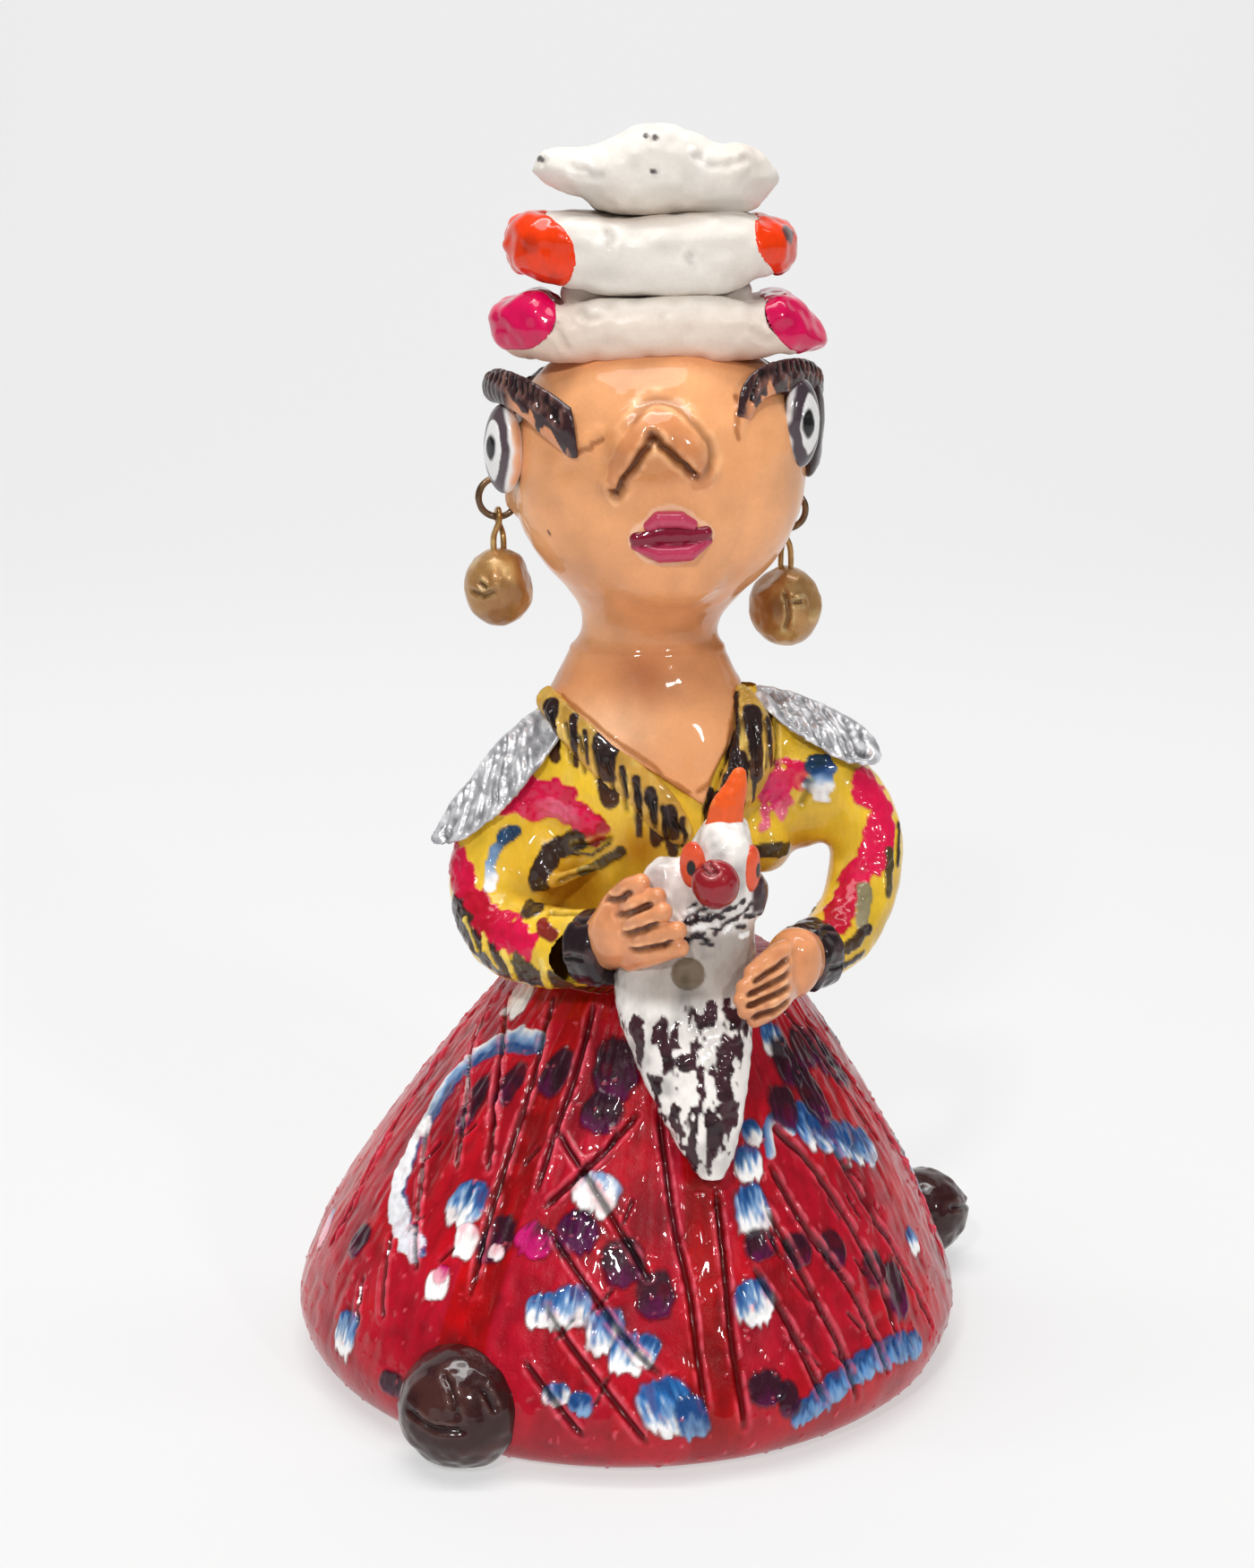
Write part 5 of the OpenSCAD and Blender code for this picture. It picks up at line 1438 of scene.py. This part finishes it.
def outlined(outline, mid, half, rounding):
    """A pillow with an outline of (x, z) seen from the front, thinner towards its two ends.

    It is only for a block's own grid, since it measures the outline once for each x and z.
    """
    closed = curve(outline + outline[:1], 3)
    low, high = closed.min(0), closed.max(0)
    wide = (high - low)[0] / 2

    def distance(p):
        x, z = p[:, :1, :, 0], p[:, :1, :, 2]
        best, inside = np.full(x.shape, 1e3), np.zeros(x.shape, bool)
        for a, b in zip(closed[:-1], closed[1:]):
            d = b - a
            t = np.clip(((x - a[0]) * d[0] + (z - a[1]) * d[1]) / (d @ d), 0, 1)
            best = np.minimum(best, np.hypot(x - a[0] - t * d[0], z - a[1] - t * d[1]))
            if d[1] != 0:
                inside ^= ((a[1] > z) != (b[1] > z)) & (x < a[0] + (z - a[1]) * d[0] / d[1])
        flat = np.where(inside, -best, best)
        reach = half - 0.4 * half * (np.abs(x - (low[0] + wide)) / wide) ** 3
        e = np.abs(p[..., 1] - mid) - reach + rounding
        f = flat + rounding
        return np.hypot(np.maximum(e, 0), np.maximum(f, 0)) + np.minimum(np.maximum(e, f), 0) - rounding
    return distance, vec(low[0], mid - half, low[1]), vec(high[0], mid + half, high[1])


def build_rolls():
    satin = paint("cloth_white", rough=0.5, coat=0.2, coat_rough=0.25, mottle=0.06, streak=EVEN)
    magenta = paint("magenta_varnish", rough=0.28, coat=0.9, coat_rough=0.05, bump=0.15)
    orange = paint("orange_varnish", rough=0.3, coat=0.7, coat_rough=0.05, bump=0.15)
    shapes = ((outlined(LOWER_OUTLINE, 0, 15, 4.2), 0.2), (slab((4.6, 3, 174), (14.8, 10, 1.5), 1.4), 0.3))
    split_roll("lower_roll", shapes, ((-25, -19, 162), (35, 19, 178)),
               ball((-16.2, 0, 170.4), (5.9, 60, 4.6), turned(0, 18))[0],
               ball((26.6, 0, 169.8), (6.8, 60, 4.1), turned(0, -34))[0],
               MAGENTA_TIP, (satin, magenta),
               (((-7.6, 173), (-6.2, 171.6), (-4.4, 171.6)), ((-9, 166), (-11, 169), (-10.6, 171)),
                ((19, 170), (20.6, 168), (22.6, 167))))
    shapes = ((outlined(MIDDLE_OUTLINE, 0, 14.4, 4.8), 0.2),)
    split_roll("middle_roll", shapes, ((-24, -18, 171), (30, 18, 190)),
               ball((-13.8, 0, 181.4), (7.1, 60, 5), turned(0, -36))[0],
               ball((23.7, 0, 181.8), (5.9, 60, 4), turned(0, -60))[0],
               ORANGE_TIP, (satin, orange),
               (((-3, 184.6), (-2.6, 183), (-3.2, 181.4)), ((10, 181), (9.6, 179.6), (10, 178.4))))
    shapes = ((outlined(UPPER_OUTLINE, 0, 12.6, 4.6), 0.2),)
    pits = (((3.2, 197.6), (4, 197.4)), ((-13.2, 194.4), (-12.6, 193.6)), ((3.8, 192.6), (4, 192.4)))
    roll_part("upper_roll", shapes, ((-18, -17, 183), (28, 17, 202)), (),
              ROLL_WHITE, satin,
              (((11, 194.6), (13.4, 193.6), (16, 194), (18.6, 194.8)), ((10, 194.8), (11.6, 195.6)),
               ((-9, 193.6), (-6, 192.4), (-3.6, 192))) + pits)


# ---- shoes

def build_shoe(name, centre, radii, creases, seed):
    """A lump of dark clay, flat underneath, with pressed creases."""
    clay = Clay.about(centre, 11, 0.3)
    clay.add(keep(ball(centre, radii), lambda p: 0.05 - p[..., 2]), 0.3)
    skin = clay.skin((50, 17, 17), lumps=0.34, size=4.5)
    skin.cloud((92, 54, 48), 0.45, 0.1, 0.8, 3, seed)
    for path in creases:
        skin.groove(skin.on_surface(curve(path, 4)), 0.5, 0.5, 0.25, 0.4, (120, 92, 84))
    skin.lift *= ease(0.1, 1.2, skin.points[:, 2])
    finish(name, skin, "shoe_paint", rough=0.28, coat=0.65, bump=0.4, mottle=0.2)


def build_shoes():
    build_shoe("left_shoe", (-25.4, -47.4, 9), (9.8, 9.2, 9.5),
               (((-27.4, -52, 16.4), (-26, -54.6, 14), (-25.4, -56, 11.6)),
                ((-32, -52, 11), (-28.6, -55.4, 9.6), (-24.6, -56.4, 9.4)),
                ((-22, -53.4, 14.6), (-20, -54.4, 12))), 3)
    build_shoe("right_shoe", (53.2, 24.6, 9.6), (8.4, 7.4, 7.9),
               (((57.6, 19, 12.6), (60, 22.6, 11.4), (60.4, 26, 10.6)),), 4)


# ---- earrings

HOOK_R, HOOK_WIRE, WIRE_SIDES, WIRE_ROUGH = 1.3, 0.5, 14, 0.03
BEAD_R, BEAD_TALL, LEG_IN = 5.6, 6.16, 1.6
BEAD_SEED = 5


def tube(path, radius, closed=False):
    """A wire along points, as points and faces."""
    sides = WIRE_SIDES
    p = np.array(path, float)
    t = np.roll(p, -1, 0) - np.roll(p, 1, 0) if closed else np.gradient(p, axis=0)
    t = unit(t)
    side = unit(np.cross(t[0], (0.31, 0.2, 0.93)))
    rings = []
    for k in range(len(p)):
        side = unit(side - t[k] * (side @ t[k]))
        up = np.cross(t[k], side)
        a = np.arange(sides) / sides * math.tau
        rings.append(p[k] + radius * (np.outer(np.cos(a), side) + np.outer(np.sin(a), up)))
    points = np.array(rings)
    n = len(p)
    k = np.arange(n * sides).reshape(n, sides)
    rows = np.concatenate([k, k[:1]]) if closed else k
    around = np.roll(rows, -1, 1)
    faces = np.stack([rows[:-1], rows[1:], around[1:], around[:-1]], -1).reshape(-1, 4)
    points = points.reshape(-1, 3)
    if closed:
        twist = np.argmin(np.linalg.norm(points[-sides:, None] - points[None, :sides], axis=-1), 1)
        last = faces.reshape(n, sides, 4)[-1]
        last[:, 1] = twist
        last[:, 2] = np.roll(twist, -1)
    return points + WIRE_ROUGH * noise(points, 0.8, 1)[:, None], faces


def build_ring(name, centre, turn, body):
    """A closed ring of dark wire through the ear lobe."""
    u = vec(math.cos(math.radians(turn)), math.sin(math.radians(turn)), 0)
    a = np.arange(72) / 72 * math.tau
    path = vec(*centre) + RING_R * (np.outer(np.cos(a), u) + np.outer(np.sin(a), (0, 0, 1)))
    skin = Skin(*tube(path, WIRE - 0.03, closed=True), (104, 78, 56), lumps=0.03, size=1.5)
    skin.cloud((150, 118, 84), 0.6, 0, 0.7, 1.2, 4)
    finish(name, skin, "ring_wire", body=body, kind="wire", rough=0.34, coat=0.25, metal=0.7, bump=0.2,
           mottle=0.2)


def build_hook(name, centre, turn, length, twist, body):
    """A doubled wire that hangs on the ring, with both its legs sunk in the bead."""
    a0 = math.radians(90 + turn)
    top = vec(*centre) - vec(0, 0, RING_R)
    legs = np.linspace(0, 1, 14)
    path = [(1, -length + s * length) for s in legs[:-1]]
    path += [(math.cos(b), HOOK_R * math.sin(b)) for b in np.radians(np.linspace(0, 180, 13))]
    path += [(-1, -s * length) for s in legs[1:]]
    points = []
    for side, z in path:
        share = ease(0, 1, -z / length * 1.6)
        angle = a0 + math.radians(twist) * share
        r = HOOK_R * (1 - 0.3 * share)
        points.append(top + vec(side * r * math.cos(angle), side * r * math.sin(angle), z - WIRE * 0.2))
    skin = Skin(*tube(points, HOOK_WIRE - 0.02), (176, 134, 78), lumps=0.04, size=1.2)
    skin.cloud((222, 186, 120), 0.6, 0, 0.6, 1.0, 5)
    finish(name, skin, "hook_wire", body=body, kind="wire", coat=0.2, metal=0.75, mottle=0.2)


def build_bead(name, centre, big, chips, creases, body):
    """A hand-rolled ball with flats sliced off it, and scratches."""
    clay = Clay.about(centre, 8, 0.24)
    clay.add(ball(centre, vec(BEAD_R, BEAD_R, BEAD_TALL) * big), 0.2)
    for at, way in chips:
        clay.cut(beyond(vec(*centre) + vec(*at), way), 0.5)
    skin = clay.skin((182, 134, 76), lumps=0.2, size=3.6)
    skin.cloud((134, 88, 48), 0.7, 0, 0.9, 4.5, BEAD_SEED)
    skin.cloud((222, 186, 124), 0.6, 0.1, 0.8, 2.6, BEAD_SEED + 1)
    for path in creases:
        line = skin.on_surface([vec(*centre) + vec(*q) for q in curve(path, 4)])
        skin.groove(line, 0.4, 0.5, 0.3, 0.5, (226, 200, 140))
    finish(name, skin, "bead_paint", body=body, kind="gold", rough=0.36, coat=0.4, metal=0.4, bump=0.3,
           mottle=0.2)


EARRINGS = (
    # side; ring; its turn; hook's length and twist; bead's size, flats (place, way) and scratches
    ("left", LEFT_RING, RING_TURN, 6.6, -72, 1.0,
     (((3.6, -2, -4.6), (0.55, -0.1, -0.8)), ((-1, -5.2, 2.4), (-0.2, -1, 0.4)),
      ((4.4, -0.9, 1.3), (0.92, -0.19, 0.28))),
     (((-4.4, -3.4, 0), (-2.4, -5, -0.6), (-0.4, -5.6, 0.2)), ((-3, -4.4, 1.4), (-1.6, -5.2, 0.6)))),
    ("right", RIGHT_RING, -RING_TURN, 7.8, 72, 1.07,
     (((-3.8, -2, 3.6), (-0.6, -0.2, 0.8)), ((4, -3.4, 0.6), (0.8, -0.6, 0.3)),
      ((-4.6, -3, -1), (-0.8, -0.6, -0.1))),
     (((-0.4, -5.4, 3.4), (0.2, -5.8, 0), (-0.2, -5, -3.4)), ((0.6, -5.5, 1.4), (3, -4.6, 1.6)))),
)


def build_earrings():
    for side, centre, turn, length, twist, big, chips, creases in EARRINGS:
        build_ring(side + "_ear_ring", centre, turn, side + "_ring")
        build_hook(side + "_drop_hook", centre, turn, length, twist, side + "_drop")
        bead_top = centre[2] - RING_R - length + LEG_IN
        middle = (centre[0], centre[1], bead_top - big * BEAD_TALL)
        build_bead(side + "_drop_bead", middle, big, chips, creases, side + "_drop")


# ---- camera, light and floor

# metres from here on
CAMERA_PLACE, CAMERA_DOWN, LENS, FILM = (0, -0.4, 0.195), 14, 58, 36
MIDDLE = (0, 0, 0.1)
LIGHTS = (
    # name, place, target, size, watts
    ("key", (-0.22, -0.8, 0.7), MIDDLE, (0.1, 0.1), 3.6),
    ("fill", (0.5, -0.75, 0.5), MIDDLE, (0.08, 0.1), 1.7),
    ("top", (-0.12, -0.14, 1.15), MIDDLE, (0.8, 0.7), 6.2),
    ("wall", (0, 0.1, 1.7), (0, 1.4, 0.7), (2.4, 0.4), 20.5),
)
WORLD_LIGHT, CARD_GREY, CARD_GLOW = 0.16, 0.32, 0.52


def add_camera():
    cam = bpy.data.cameras.new("camera")
    cam.sensor_fit = "VERTICAL"
    cam.sensor_height = FILM
    cam.lens = LENS
    cam.clip_start, cam.clip_end = 0.01, 20
    obj = add_object("camera", cam)
    obj.location = CAMERA_PLACE
    obj.rotation_euler = (math.radians(90 - CAMERA_DOWN), 0, 0)
    bpy.context.scene.camera = obj


def add_light(name, place, target, size, watts):
    """A round or oval soft box that looks at a target."""
    light = bpy.data.lights.new(name, "AREA")
    light.shape = "ELLIPSE"
    light.size, light.size_y = size
    light.energy = watts
    obj = add_object(name, light)
    obj.location = place
    obj.rotation_euler = (Vector(target) - Vector(place)).to_track_quat("-Z", "Y").to_euler()


def floor_card():
    """A dull grey card that glows a little, so that the background stays pale and even."""
    mat = bpy.data.materials.new("floor_card")
    mat.use_nodes = True
    shader = mat.node_tree.nodes["Principled BSDF"]
    for socket, value in (("Base Color", (CARD_GREY, CARD_GREY, CARD_GREY, 1)), ("Roughness", 0.9),
                          ("Specular IOR Level", 0.1), ("Emission Color", (1, 1, 1, 1)),
                          ("Emission Strength", CARD_GLOW)):
        shader.inputs[socket].default_value = value
    return mat


def add_floor():
    """A sweep that curves up behind the figure."""
    half, front, back, bend, top = 2.5, -2.5, 1.4, 0.6, 2.2
    profile = [(front, 0), (back - bend, 0)]
    profile += [(back - bend + bend * math.sin(a), bend - bend * math.cos(a))
                for a in np.radians(np.arange(6, 91, 6))]
    profile += [(back, top)]
    points = [(x, y, z) for y, z in profile for x in (-half, half)]
    faces = [(2 * i, 2 * i + 1, 2 * i + 3, 2 * i + 2) for i in range(len(profile) - 1)]
    mesh = bpy.data.meshes.new("floor")
    mesh.from_pydata(points, [], faces)
    mesh.shade_smooth()
    mesh.materials.append(floor_card())
    add_object("floor", mesh)


def add_world():
    world = bpy.data.worlds.new("studio")
    world.use_nodes = True
    background = world.node_tree.nodes["Background"]
    background.inputs["Color"].default_value = (1, 1, 1, 1)
    background.inputs["Strength"].default_value = WORLD_LIGHT
    bpy.context.scene.world = world


def add_studio():
    add_floor()
    add_world()
    for light in LIGHTS:
        add_light(*light)


# ---- the figure

bpy.context.scene.view_settings.view_transform = "Standard"
add_camera()
add_studio()
build_skirt()
build_shoes()
build_torso()
build_turkey()
build_face()
build_rolls()
build_earrings()
